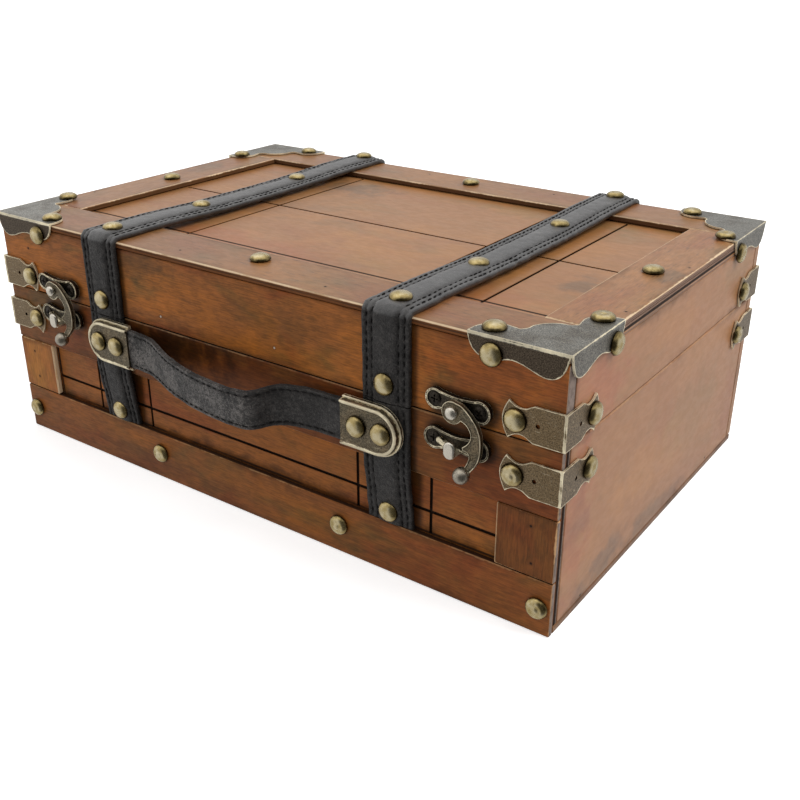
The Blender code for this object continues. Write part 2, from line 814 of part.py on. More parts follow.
def build_handle_plate(name, side):
    level = front_y - plate_level
    wall_line = handle_width / 2 + fit_gap
    bend = plate_outer_end - plate_half_height
    path = [(plate_inner_end, -wall_line)]
    path += arc_points((bend, 0), wall_line, -math.pi / 2, math.pi / 2, plate_round_steps)
    path.append((plate_inner_end, wall_line))
    stations = []
    for index, (x, z) in enumerate(path):
        if index in (0, len(path) - 1):
            out = Vector((0, 0, math.copysign(1, z)))
        else:
            out = Vector((side * (x - bend), 0, z)).normalized()
        stations.append((Vector((side * x, level, handle_height + z)), out, Vector((0, -1, 0)), 1.0))
    rim = swept_mesh(name, plate_rim_section(handle_thick), stations)
    plate = add_object(name, rim, "bronze")
    field_half = wall_line - plate_thick
    field = [(plate_inner_end, -field_half)]
    field += arc_points((bend, 0), field_half, -math.pi / 2, math.pi / 2, plate_round_steps)
    field.append((plate_inner_end, field_half))
    low = handle_thick + fit_gap
    sheet = add_object(name + "_field", outline_mesh(name + "_field", mirrored(field, side), low,
                                                     low + plate_thick),
                       place=face_frame("front", (0, level, handle_height)))
    combine(plate, sheet, "UNION")
    for step in rivet_from_strap:
        fuse_nail(plate, "front", (side * (strap_centre + step), level, handle_height),
                  low + plate_thick)
    smooth(plate)


# Latches

def lobed_outline(left, left_radius, right, right_radius, waist_high, waist_low, steps=8):
    points = arc_points(left, left_radius, math.pi / 2, math.pi * 1.5, steps)
    middle = (left[0] + right[0]) / 2
    points.append((middle, waist_low))
    points += arc_points(right, right_radius, -math.pi / 2, math.pi / 2, steps)
    points.append((middle, waist_high))
    return points


# A cast plate: a flat plate with a raised rim round its face.
def cast_plate(name, points):
    def build(shape):
        high = fit_gap + latch_plate_thick + latch_rim_height
        faces = extrude_outline(shape, points, fit_gap, high)
        bmesh.ops.recalc_face_normals(shape, faces=shape.faces)
        bmesh.ops.inset_region(shape, faces=faces, thickness=latch_rim_width, depth=0)
        bmesh.ops.translate(shape, verts=faces[0].verts, vec=(0, 0, -latch_rim_height))
    return mesh_from(name, build)


def fuse_turned(item, name, profile, frame, sides=round_sides):
    part = add_object(name, turned_mesh(name, profile, sides), place=frame)
    combine(item, part, "UNION")


def screw_profile(face):
    return [(0, face + screw_rise), (screw_radius * 0.72, face + screw_rise * 0.8),
            (screw_radius, face + screw_rise * 0.3), (screw_radius, face - screw_rise),
            (0, face - screw_rise)]


def fuse_screws(item, frame, places):
    face = fit_gap + latch_plate_thick
    for x, z in places:
        fuse_turned(item, item.name + "_screw", screw_profile(face),
                    frame @ Matrix.Translation((x, z, 0)))


def pivot_place(name):
    side = -1 if name == "left" else 1
    return Vector((side * (half_length - latch_from_end[name]), front_y, pivot_height))


def build_hanger(name, pivot, lid):
    frame = face_frame("front", pivot)
    left = (-keeper_lobe_reach, keeper_lobe_radius * hanger_left_lift_share)
    right = (keeper_lobe_reach, keeper_lobe_radius * hanger_right_lift_share)
    outline = lobed_outline(left, hanger_left_lobe_radius, right, keeper_lobe_radius,
                            left[1] + latch_waist, left[1] - latch_waist)
    plate = add_object(name, cast_plate(name, outline), "latch_bronze", lid, frame)
    fuse_screws(plate, frame, (left, right))
    face = fit_gap + latch_plate_thick
    boss = hook_level - fit_gap
    head = hook_level + hook_thick + fit_gap
    pin = pivot_pin_radius
    profile = [(0, head + pivot_head_height), (pivot_head_radius * 0.62, head + pivot_head_height * 0.82),
               (pivot_head_radius, head + fit_gap), (pivot_head_radius, head), (pin, head),
               (pin, boss), (hook_hub_radius * 0.8, boss), (hook_hub_radius * 0.8, face - fit_gap),
               (0, face - fit_gap)]
    fuse_turned(plate, name + "_pivot", profile, frame)


def hook_point(share, turn=0.0):
    point = Vector((share[0] * hook_reach, share[1] * hook_reach))
    return Matrix.Rotation(turn, 2) @ point


def build_hook(name, pivot, pivot_axis):
    def build(shape):
        hub = arc_points((0, 0), hook_hub_radius, hook_hub_from, hook_hub_to, 12)
        outline = hub + [hook_point(share) for share in hook_outer_shares + hook_inner_shares]
        extrude_outline(shape, outline, hook_level, hook_level + hook_thick)
        start = hook_bend_start_share * hook_reach
        for line in (start, (start + hook_reach) / 2):
            parts = list(shape.verts) + list(shape.edges) + list(shape.faces)
            bmesh.ops.bisect_plane(shape, geom=parts, plane_co=(0, -line, 0), plane_no=(0, 1, 0))
        for vert in shape.verts:
            past = max(-vert.co.y - start, 0) / (hook_reach - start)
            vert.co.z += hook_ball_rise * min(past, 1.0) * hook_neck_share
    mesh = mesh_from(name, build)
    turn = Matrix.Rotation(hook_rest_turn, 4, "Z")
    frame = face_frame("front", pivot) @ turn
    hook = add_object(name, mesh, "latch_bronze", pivot_axis, frame)
    ball = hook_point(hook_ball_shares)
    centre = hook_level + hook_thick / 2 + hook_ball_rise
    turns = [math.pi * k / ball_steps for k in range(1, ball_steps)]
    profile = [(0, hook_ball_radius)]
    profile += [(hook_ball_radius * math.sin(t), hook_ball_radius * math.cos(t)) for t in turns]
    profile.append((0, -hook_ball_radius))
    fuse_turned(hook, name + "_ball", profile,
                frame @ Matrix.Translation((ball.x, ball.y, centre)), nail_sides)
    bore = pivot_pin_radius + pin_clearance
    low = hook_level - cut_over
    high = hook_level + hook_thick + cut_over
    profile = [(0, high), (bore, high), (bore, low), (0, low)]
    cutter = add_object(name + "_bore", turned_mesh(name + "_bore", profile, round_sides), place=frame)
    combine(hook, cutter, "DIFFERENCE")
    smooth(hook)


def build_keeper(name, pivot):
    frame = face_frame("front", (pivot.x, front_y, keeper_height))
    left = (-keeper_lobe_reach, 0)
    right = (keeper_lobe_reach, 0)
    outline = lobed_outline(left, keeper_lobe_radius, right, keeper_lobe_radius, latch_waist, -latch_waist)
    plate = add_object(name, cast_plate(name, outline), "latch_bronze", None, frame)
    fuse_screws(plate, frame, (left, right))
    notch = hook_point(notch_shares, hook_engaged_turn)
    post = Vector((notch.x, notch.y + pivot_height - keeper_height))
    face = fit_gap + latch_plate_thick
    under = hook_level + hook_thick + fit_gap
    root = face - fit_gap
    fuse_turned(plate, name + "_post", [(0, under + fit_gap), (post_radius, under + fit_gap),
                                        (post_radius, root), (0, root)],
                frame @ Matrix.Translation((post.x, post.y, 0)))
    fuse_post_head(plate, frame, post, under)
    fuse_tongue(plate, frame, left, post, root, under)
    smooth(plate)


# The head is an upright rounded oblong whose foot is over the post.
def fuse_post_head(plate, frame, post, under):
    radius = post_head_width / 2
    straight = post_head_height - post_head_width
    across = post.x - post_head_shift
    low = (across, post.y + radius * head_drop_share)
    high = (across, low[1] + straight)
    points = arc_points(low, radius, math.pi, 2 * math.pi, 6) + arc_points(high, radius, 0, math.pi, 6)
    name = plate.name + "_head"
    head = add_object(name, outline_mesh(name, points, under, under + post_head_thick), place=frame)
    bevel = head.modifiers.new("worn edge", "BEVEL")
    bevel.width = edge_round
    bevel.segments = 1
    combine(plate, head, "UNION")


# A rib that rises from the left lobe to the post.
def fuse_tongue(plate, frame, left, post, root, under):
    name = plate.name + "_tongue"
    half = tongue_width / 2
    start = left[0] + screw_radius

    def build(shape):
        ends = ((start, left[1], root + latch_rim_height), (post.x, post.y, under - fit_gap))
        rings = []
        for x, y, top in ends:
            rings.append([shape.verts.new(corner) for corner in
                          ((x, y - half, root), (x, y + half, root), (x, y + half, top), (x, y - half, top))])
        for k in range(4):
            following = (k + 1) % 4
            shape.faces.new((rings[0][k], rings[0][following], rings[1][following], rings[1][k]))
        shape.faces.new(rings[0])
        shape.faces.new(list(reversed(rings[1])))
    combine(plate, add_object(name, mesh_from(name, build), place=frame), "UNION")


def build_latches(lid, hook_axes):
    for name in latch_from_end:
        pivot = pivot_place(name)
        build_hanger("hook_plate_" + name, pivot, lid)
        build_hook("hook_" + name, pivot, hook_axes[name])
        build_keeper("catch_plate_" + name, pivot)


# Hinges

def knuckle_spans():
    third = hinge_width / 3
    return ((-hinge_width / 2, -third / 2 - knuckle_gap / 2), (-third / 2 + knuckle_gap / 2, third / 2 - knuckle_gap / 2),
            (third / 2 + knuckle_gap / 2, hinge_width / 2))


# A knuckle with the strip of leaf that it is rolled from, seen along the hinge axis.
def knuckle_outline(upward, strip_end):
    inner = knuckle_radius - hinge_leaf_thick
    last = 3 * math.pi - math.acos(inner / knuckle_radius)
    points = arc_points((0, 0), knuckle_radius, math.pi, last, knuckle_steps)
    points += [(-inner, strip_end), (-knuckle_radius, strip_end)]
    return [(across, up * upward) for across, up in points]


def build_leaf(name, centre, upward, spans, owner=None):
    axis = hinge_axis + Vector((centre, 0, 0))
    low_y = back_y + fit_gap
    near = knuckle_radius + knuckle_gap
    far = near + hinge_leaf_height - knuckle_radius
    heights = sorted((axis.z + upward * near, axis.z + upward * far))
    leaf = add_board(name, (centre - hinge_width / 2, low_y, heights[0]),
                     (centre + hinge_width / 2, low_y + hinge_leaf_thick, heights[1]),
                     "hinge_brass", owner, rounding=0)
    for start, end in spans:
        outline = knuckle_outline(upward, near + hinge_leaf_thick)
        knuckle = add_object(name + "_knuckle", outline_mesh(name + "_knuckle", outline, start, end),
                             place=face_frame("right", axis))
        combine(leaf, knuckle, "UNION")
    bore_radius = hinge_pin_radius + pin_clearance
    profile = [(0, hinge_width), (bore_radius, hinge_width), (bore_radius, -hinge_width),
               (0, -hinge_width)]
    bore = add_object(name + "_bore", turned_mesh(name + "_bore", profile, round_sides),
                      place=face_frame("right", axis))
    combine(leaf, bore, "DIFFERENCE")
    middle = axis.z + upward * (near + far) / 2
    for side in (-1, 1):
        spot = (centre + side * hinge_width * hinge_screw_share, low_y + hinge_leaf_thick, middle)
        fuse_turned(leaf, name + "_screw", screw_profile(0), face_frame("back", spot))


def build_hinge_pin(name, centre):
    half = hinge_width / 2
    head = half + fit_gap + hinge_pin_head_length
    profile = [(0, head), (hinge_pin_head_radius, head), (hinge_pin_head_radius, half + fit_gap),
               (hinge_pin_radius, half + fit_gap), (hinge_pin_radius, -half - fit_gap),
               (hinge_pin_head_radius, -half - fit_gap), (hinge_pin_head_radius, -head), (0, -head)]
    pin = add_object(name, turned_mesh(name, profile, round_sides), "hinge_brass", None,
                     face_frame("right", hinge_axis + Vector((centre, 0, 0))))
    smooth(pin)


def build_hinges(lid):
    spans = knuckle_spans()
    for side, name in ((-1, "left"), (1, "right")):
        centre = side * hinge_centre
        build_leaf("hinge_lid_leaf_" + name, centre, 1, spans[1:2], lid)
        build_leaf("hinge_body_leaf_" + name, centre, -1, (spans[0], spans[2]))
        build_hinge_pin("hinge_pin_" + name, centre)


def main():
    clear_scene()
    lid = add_axis("lid_hinge_axis", hinge_axis)
    hook_axes = {name: add_axis("hook_axis_" + name, pivot_place(name), lid)
                 for name in latch_from_end}
    build_body()
    build_lid(lid)
    build_straps(lid)
    build_corner_hardware(lid)
    build_handle()
    build_latches(lid, hook_axes)
    build_hinges(lid)
    bpy.context.view_layer.update()


main()
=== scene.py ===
# Looks of the wooden suitcase box: stained boards, stitched leather, cast and folded bronze.
# Lengths are in metres, in the case's own frame: X along its length, Y to its back, Z up.

import json
import math

import bmesh
import bpy
from bpy.props import FloatProperty, FloatVectorProperty, PointerProperty
from mathutils import Matrix, Vector, kdtree, noise


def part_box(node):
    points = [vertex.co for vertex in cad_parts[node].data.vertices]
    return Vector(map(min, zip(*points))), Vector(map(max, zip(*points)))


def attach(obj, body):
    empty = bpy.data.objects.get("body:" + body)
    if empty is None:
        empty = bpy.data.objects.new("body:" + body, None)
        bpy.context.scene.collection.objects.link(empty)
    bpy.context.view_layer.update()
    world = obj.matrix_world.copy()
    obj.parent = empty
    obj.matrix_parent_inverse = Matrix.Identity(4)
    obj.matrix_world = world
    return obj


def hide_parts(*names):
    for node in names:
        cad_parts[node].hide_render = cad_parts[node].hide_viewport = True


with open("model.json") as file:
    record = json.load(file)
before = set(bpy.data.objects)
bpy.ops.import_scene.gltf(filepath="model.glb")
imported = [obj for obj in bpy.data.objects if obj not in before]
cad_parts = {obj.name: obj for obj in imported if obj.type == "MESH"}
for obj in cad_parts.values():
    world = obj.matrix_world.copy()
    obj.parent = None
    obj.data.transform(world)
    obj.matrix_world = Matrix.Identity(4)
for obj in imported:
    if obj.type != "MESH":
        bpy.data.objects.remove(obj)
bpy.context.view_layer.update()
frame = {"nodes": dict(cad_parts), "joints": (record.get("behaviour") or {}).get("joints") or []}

bl_info = {
    "name": "Wooden Suitcase Box",
    "version": (1, 0, 0),
    "blender": (4, 5, 0),
    "location": "View3D > Sidebar > Suitcase",
    "description": "Dresses a small wooden suitcase box with its finishes and fine pieces",
    "category": "Object",
}

MM = 0.001

# Places read from the case itself
FRONT_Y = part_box("front_bottom_rail")[0].y
BACK_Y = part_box("body_back_board")[1].y
HALF_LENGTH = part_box("front_bottom_rail")[1].x
CASE_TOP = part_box("top_front_strip")[1].z
BODY_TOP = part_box("front_top_rail")[1].z
LID_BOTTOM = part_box("lid_front_board")[0].z
PANEL_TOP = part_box("lid_top_panel")[1].z
PANEL_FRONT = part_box("front_panel")[0].y
BOTTOM_RAIL_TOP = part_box("front_bottom_rail")[1].z
TOP_RAIL_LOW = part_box("front_top_rail")[0].z
STRIP_INNER_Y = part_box("top_back_strip")[0].y
STRAP_CENTRE = sum(corner.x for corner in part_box("lid_right_strap")) / 2
JOINTS = {joint["name"]: Vector(joint["pos_m"]) for joint in frame["joints"]}
SIDES = {"left": -1, "right": 1}
DEPTHS = {"front": -1, "back": 1}

# Sizes shared by several pieces
GAP = 0.3 * MM
SHEET_THICK = 0.8 * MM
STRAP_THICK = 3.0 * MM
STRAP_WIDTH = 21.4 * MM
NAIL_SIDES = 28
# How far apart the points along a sharp edge lie, how far from a spot they are left out, and a
# distance from any edge at which no wear shows
RIM_STEP = 0.15 * MM
SKIP_REACH = 2 * MM
NO_RIM = 9 * MM


# Settings that a user may change

class WoodSettings(bpy.types.PropertyGroup):
    front_colour: FloatVectorProperty(
        name="Front stain", description="Middle tone of the front boards", subtype="COLOR",
        default=(0.250, 0.085, 0.020), min=0, max=1)
    top_colour: FloatVectorProperty(
        name="Top stain", description="Middle tone of the lid's top", subtype="COLOR",
        default=(0.310, 0.139, 0.051), min=0, max=1)
    side_colour: FloatVectorProperty(
        name="Side stain", description="Middle tone of the side and back boards", subtype="COLOR",
        default=(0.320, 0.150, 0.068), min=0, max=1)
    end_colour: FloatVectorProperty(
        name="End grain", description="Greyed ends of the boards", subtype="COLOR",
        default=(0.215, 0.165, 0.140), min=0, max=1)
    worn_colour: FloatVectorProperty(
        name="Worn edge", description="Bare wood where the stain is rubbed off", subtype="COLOR",
        default=(0.70, 0.52, 0.33), min=0, max=1)
    rubbed_colour: FloatVectorProperty(
        name="Rubbed front", description="Rubbed edges of the front boards", subtype="COLOR",
        default=(0.56, 0.33, 0.155), min=0, max=1)
    # The dark wax colour also paints shadows at the feet of the front panel's frame.
    wax_and_shade_colour: FloatVectorProperty(
        name="Dark wax", description="Dark wax in seams, grooves and nail holes", subtype="COLOR",
        default=(0.020, 0.010, 0.006), min=0, max=1)
    inside_colour: FloatVectorProperty(
        name="Inside", description="Bare wood inside the case", subtype="COLOR",
        default=(0.52, 0.32, 0.17), min=0, max=1)
    wear_width: FloatProperty(
        name="Wear width", description="How far the rubbed line reaches in from an edge",
        default=0.45 * MM, min=0.05 * MM, unit="LENGTH", precision=4)


class LeatherSettings(bpy.types.PropertyGroup):
    strap_colour: FloatVectorProperty(
        name="Strap leather", description="Dark tone of the straps", subtype="COLOR",
        default=(0.021, 0.018, 0.0165), min=0, max=1)
    handle_colour: FloatVectorProperty(
        name="Handle leather", description="Dark tone of the handle", subtype="COLOR",
        default=(0.024, 0.021, 0.0195), min=0, max=1)
    scuffed_colour: FloatVectorProperty(
        name="Scuffed leather", description="Pale tone of rubbed leather", subtype="COLOR",
        default=(0.240, 0.218, 0.202), min=0, max=1)
    thread_colour: FloatVectorProperty(
        name="Thread", description="Colour of the stitching thread", subtype="COLOR",
        default=(0.009, 0.0075, 0.007), min=0, max=1)
    stitch_length: FloatProperty(
        name="Stitch length", description="Length of one stitch", default=2.3 * MM, min=0.5 * MM,
        unit="LENGTH", precision=4)
    stitch_pitch: FloatProperty(
        name="Stitch pitch", description="From one stitch to the next", default=3.5 * MM,
        min=1.0 * MM, unit="LENGTH", precision=4)


class MetalSettings(bpy.types.PropertyGroup):
    folded_colour: FloatVectorProperty(
        name="Bracket bronze", description="Patina of the corner brackets", subtype="COLOR",
        default=(0.222, 0.217, 0.201), min=0, max=1)
    # Darker than the top plate: a brown patina, partly painted shade on the flanges that face front
    # and back.
    shaded_flange_colour: FloatVectorProperty(
        name="Flange bronze", description="Patina of the brackets' flanges", subtype="COLOR",
        default=(0.082, 0.064, 0.048), min=0, max=1)
    brace_colour: FloatVectorProperty(
        name="Brace bronze", description="Patina of the corner braces", subtype="COLOR",
        default=(0.165, 0.119, 0.070), min=0, max=1)
    folded_stain: FloatVectorProperty(
        name="Brown patina", description="Brown stains on the folded bronze", subtype="COLOR",
        default=(0.200, 0.150, 0.095), min=0, max=1)
    cast_colour: FloatVectorProperty(
        name="Cast bronze", description="Patina of the latches", subtype="COLOR",
        default=(0.092, 0.078, 0.056), min=0, max=1)
    cast_stain: FloatVectorProperty(
        name="Black patina", description="Dark recesses of the latches", subtype="COLOR",
        default=(0.040, 0.034, 0.028), min=0, max=1)
    worn_colour: FloatVectorProperty(
        name="Worn metal", description="Bright metal along rubbed rims", subtype="COLOR",
        default=(0.92, 0.81, 0.57), min=0, max=1)
    polished_colour: FloatVectorProperty(
        name="Polished metal", description="Pivot heads, catch heads and ball ends",
        subtype="COLOR", default=(0.66, 0.61, 0.52), min=0, max=1)
    nail_colour: FloatVectorProperty(
        name="Nail", description="Aged brass of the domed nails", subtype="COLOR",
        default=(0.405, 0.311, 0.136), min=0, max=1)
    nail_radius: FloatProperty(
        name="Nail radius", description="Radius of a domed nail", default=4.5 * MM, min=1.0 * MM,
        unit="LENGTH", precision=4)
    nail_height: FloatProperty(
        name="Nail height", description="Height of a nail's dome", default=2.6 * MM,
        min=0.5 * MM, unit="LENGTH", precision=4)


class StageSettings(bpy.types.PropertyGroup):
    key_power: FloatProperty(
        name="Key light", description="Power of the large light from the back right", default=20.0,
        min=0, subtype="POWER")
    fill_power: FloatProperty(
        name="Fill light", description="Power of the light from the left", default=4.5, min=0,
        subtype="POWER")
    sky_strength: FloatProperty(
        name="Sky", description="Strength of the even light from all round", default=0.55, min=0)
    floor_colour: FloatVectorProperty(
        name="Floor", description="Colour of the pale floor", subtype="COLOR",
        default=(0.86, 0.86, 0.86), min=0, max=1)


SETTINGS = {"suitcase_wood": WoodSettings, "suitcase_leather": LeatherSettings,
            "suitcase_metal": MetalSettings, "suitcase_stage": StageSettings}


# Modelling helpers

def deselect_all():
    if bpy.context.object and bpy.context.object.mode != "OBJECT":
        bpy.ops.object.mode_set(mode="OBJECT")
    bpy.ops.object.select_all(action="DESELECT")


def select_only(*pieces):
    deselect_all()
    for piece in pieces:
        piece.select_set(True)
    bpy.context.view_layer.objects.active = pieces[0]


def apply_modifiers(piece):
    select_only(piece)
    for step in list(piece.modifiers):
        bpy.ops.object.modifier_apply(modifier=step.name)


def settle(piece, name):
    """Puts the piece's place in its mesh and gives it its name."""
    select_only(piece)
    bpy.ops.object.transform_apply(location=True, rotation=True, scale=True)
    piece.name = name
    piece.data.name = name
    return piece


def join(pieces, name):
    select_only(*pieces)
    if len(pieces) > 1:
        bpy.ops.object.join()
    return settle(bpy.context.object, name)


def combine(piece, others, operation):
    """Adds the other pieces to a piece or cuts them out of it, and uses them up."""
    for other in others:
        step = piece.modifiers.new("combine", "BOOLEAN")
        step.operation = operation
        step.solver = "EXACT"
        step.object = other
        apply_modifiers(piece)
        bpy.data.objects.remove(other)
    return piece


def unite(piece, *others):
    """Makes the pieces one closed body."""
    return combine(piece, others, "UNION")


def carve(piece, *cutters):
    return combine(piece, cutters, "DIFFERENCE")


def round_edges(piece, width, segments=2, angle=40.0):
    step = piece.modifiers.new("rounded edges", "BEVEL")
    step.width = width
    step.segments = segments
    step.limit_method = "ANGLE"
    step.angle_limit = math.radians(angle)
    step.harden_normals = False
    apply_modifiers(piece)
    return piece


def set_field(piece, name, field):
    """Stores a number at each corner of a piece, from the corner's place."""
    layer = piece.data.attributes.new(name, "FLOAT", "POINT")
    layer.data.foreach_set("value", [field(vert.co) for vert in piece.data.vertices])


def rim_points(piece, angle=35.0):
    """Points along the sharp outer edges of a piece."""
    shape = bmesh.new()
    shape.from_mesh(piece.data)
    limit = math.radians(angle)
    points = []
    for edge in shape.edges:
        if len(edge.link_faces) == 2 and edge.calc_face_angle_signed(0) > limit:
            start, end = edge.verts[0].co, edge.verts[1].co
            count = max(int((end - start).length / RIM_STEP), 1)
            points += [start.lerp(end, k / count) for k in range(count + 1)]
    shape.free()
    return points


def grid_cut(piece, step):
    """Cuts a piece into small cells, so that numbers stored at its corners keep their detail."""
    shape = bmesh.new()
    shape.from_mesh(piece.data)
    bmesh.ops.triangulate(shape, faces=shape.faces)
    for axis in range(3):
        low = min(vert.co[axis] for vert in shape.verts)
        high = max(vert.co[axis] for vert in shape.verts)
        normal = Vector([float(k == axis) for k in range(3)])
        count = int((high - low) / step)
        for k in range(1, count):
            place = normal * (low + (high - low) * k / count)
            everything = shape.verts[:] + shape.edges[:] + shape.faces[:]
            bmesh.ops.bisect_plane(shape, geom=everything, plane_co=place, plane_no=normal)
    bmesh.ops.recalc_face_normals(shape, faces=shape.faces)
    shape.to_mesh(piece.data)
    shape.free()


def distance_from(points):
    """A function that says how far a spot lies from the nearest of some points."""
    tree = kdtree.KDTree(len(points))
    for index, point in enumerate(points):
        tree.insert(point, index)
    tree.balance()
    return lambda spot: tree.find(spot)[2]


def age_rims(piece, width, cell, angle=50.0, skip=()):
    """Rounds the sharp edges and stores how far each corner lies from them."""
    points = [point for point in rim_points(piece)
              if all((point - spot).length > SKIP_REACH for spot in skip)]
    round_edges(piece, width, 2, angle)
    grid_cut(piece, cell)
    set_field(piece, "rim", distance_from(points))


def face_outwards(piece):
    """Turns a piece's faces outwards where they all face inwards. The shape stays as it is."""
    shape = bmesh.new()
    shape.from_mesh(piece.data)
    volume = shape.calc_volume(signed=True)
    shape.free()
    if volume < 0:
        piece.data.flip_normals()


def dress(piece, material, body, replaced=(), angle=38.0):
    """Gives a finished piece its material by name, its smooth shading and its place on a body."""
    face_outwards(piece)
    select_only(piece)
    bpy.ops.object.shade_smooth_by_angle(angle=math.radians(angle))
    piece.data.materials.clear()
    piece.data.materials.append(bpy.data.materials[material])
    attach(piece, body)
    if replaced:
        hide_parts(*replaced)
    return piece


FACE_TURNS = {
    "front": ((1, 0, 0), (0, 0, -1), (0, 1, 0)),
    "back": ((-1, 0, 0), (0, 0, 1), (0, 1, 0)),
    "right": ((0, 0, 1), (1, 0, 0), (0, 1, 0)),
    "left": ((0, 0, -1), (-1, 0, 0), (0, 1, 0)),
    "top": ((1, 0, 0), (0, 1, 0), (0, 0, 1)),
}


def face_frame(face, place=(0, 0, 0)):
    """A frame whose Z points out of a face of the case."""
    return Matrix.Translation(place) @ Matrix(FACE_TURNS[face]).to_4x4()


def smooth_run(points, steps=6):
    """A smooth run through points, with its ends kept."""
    points = [Vector(point) for point in points]
    padded = [points[0]] + points + [points[-1]]
    run = []
    for a, b, c, d in zip(padded, padded[1:], padded[2:], padded[3:]):
        for k in range(steps):
            t = k / steps
            run.append(0.5 * ((2 * b) + (c - a) * t + (2 * a - 5 * b + 4 * c - d) * t ** 2
                              + (3 * b - a - 3 * c + d) * t ** 3))
    run.append(points[-1])
    return run


def arc(centre, radius, start, end, steps):
    turn = (end - start) / steps
    return [Vector((centre[0] + radius * math.cos(start + turn * k),
                    centre[1] + radius * math.sin(start + turn * k))) for k in range(steps + 1)]


def plate(points, low, high):
    """A flat plate from an outline."""
    deselect_all()
    bpy.ops.mesh.primitive_circle_add(vertices=len(points), radius=1, fill_type="NGON")
    piece = bpy.context.object
    for vert, point in zip(piece.data.vertices, points):
        vert.co = (point[0], point[1], low)
    bpy.ops.object.mode_set(mode="EDIT")
    bpy.ops.mesh.select_all(action="SELECT")
    bpy.ops.mesh.extrude_region_move(TRANSFORM_OT_translate={"value": (0, 0, high - low)})
    bpy.ops.mesh.select_all(action="SELECT")
    bpy.ops.mesh.normals_make_consistent(inside=False)
    bpy.ops.object.mode_set(mode="OBJECT")
    return piece


def turned(profile, sides=NAIL_SIDES):
    """A turned piece about Z: a disc extruded ring by ring through (radius, height) pairs."""
    deselect_all()
    first_radius, first_height = profile[0]
    bpy.ops.mesh.primitive_circle_add(vertices=sides, radius=first_radius, fill_type="NGON",
                                      location=(0, 0, first_height))
    piece = bpy.context.object
    bpy.ops.object.transform_apply(location=True)
    bpy.ops.object.mode_set(mode="EDIT")
    bpy.ops.mesh.select_all(action="SELECT")
    before, level = first_radius, first_height
    for radius, height in profile[1:]:
        bpy.ops.mesh.extrude_region_move(TRANSFORM_OT_translate={"value": (0, 0, height - level)})
        share = radius / before
        bpy.ops.transform.resize(value=(share, share, 1), center_override=(0, 0, height))
        before, level = radius, height
    bpy.ops.mesh.select_all(action="SELECT")
    bpy.ops.mesh.normals_make_consistent(inside=False)
    bpy.ops.object.mode_set(mode="OBJECT")
    return piece


def block(low, high):
    deselect_all()
    low, high = Vector(low), Vector(high)
    bpy.ops.mesh.primitive_cube_add(size=1, location=(low + high) / 2, scale=high - low)
    return settle(bpy.context.object, "block")


def new_object(name, data):
    piece = bpy.data.objects.new(name, data)
    bpy.context.scene.collection.objects.link(piece)
    return piece


def swept(section, stations, name, marks=None):
    """A closed section carried along stations of (place, across, up, width share)."""
    shape = bmesh.new()
    rings = []
    for place, across, up, width in stations:
        rings.append([shape.verts.new(place + across * (a * width) + up * b) for a, b in section])
    count = len(section)
    for first, second in zip(rings, rings[1:]):
        for k in range(count):
            following = (k + 1) % count
            shape.faces.new((first[k], first[following], second[following], second[k]))
    shape.faces.new(rings[0])
    shape.faces.new(list(reversed(rings[-1])))
    bmesh.ops.recalc_face_normals(shape, faces=shape.faces)
    mesh = bpy.data.meshes.new(name)
    shape.to_mesh(mesh)
    shape.free()
    if marks:
        layer = mesh.attributes.new("seam", "FLOAT", "POINT")
        layer.data.foreach_set("value", marks * len(stations))
    return new_object(name, mesh)


def copies(pattern, places, name):
    """One piece from copies of a pattern at several places. The pattern is used up."""
    shape = bmesh.new()
    for place in places:
        start = len(shape.verts)
        shape.from_mesh(pattern.data)
        shape.verts.ensure_lookup_table()
        bmesh.ops.transform(shape, matrix=place, verts=shape.verts[start:])
    mesh = bpy.data.meshes.new(name)
    shape.to_mesh(mesh)
    shape.free()
    bpy.data.objects.remove(pattern)
    return new_object(name, mesh)


# Material helpers

# Where a Mix node keeps its two colours and its result
MIX_A, MIX_B, MIX_COLOUR = 6, 7, 2


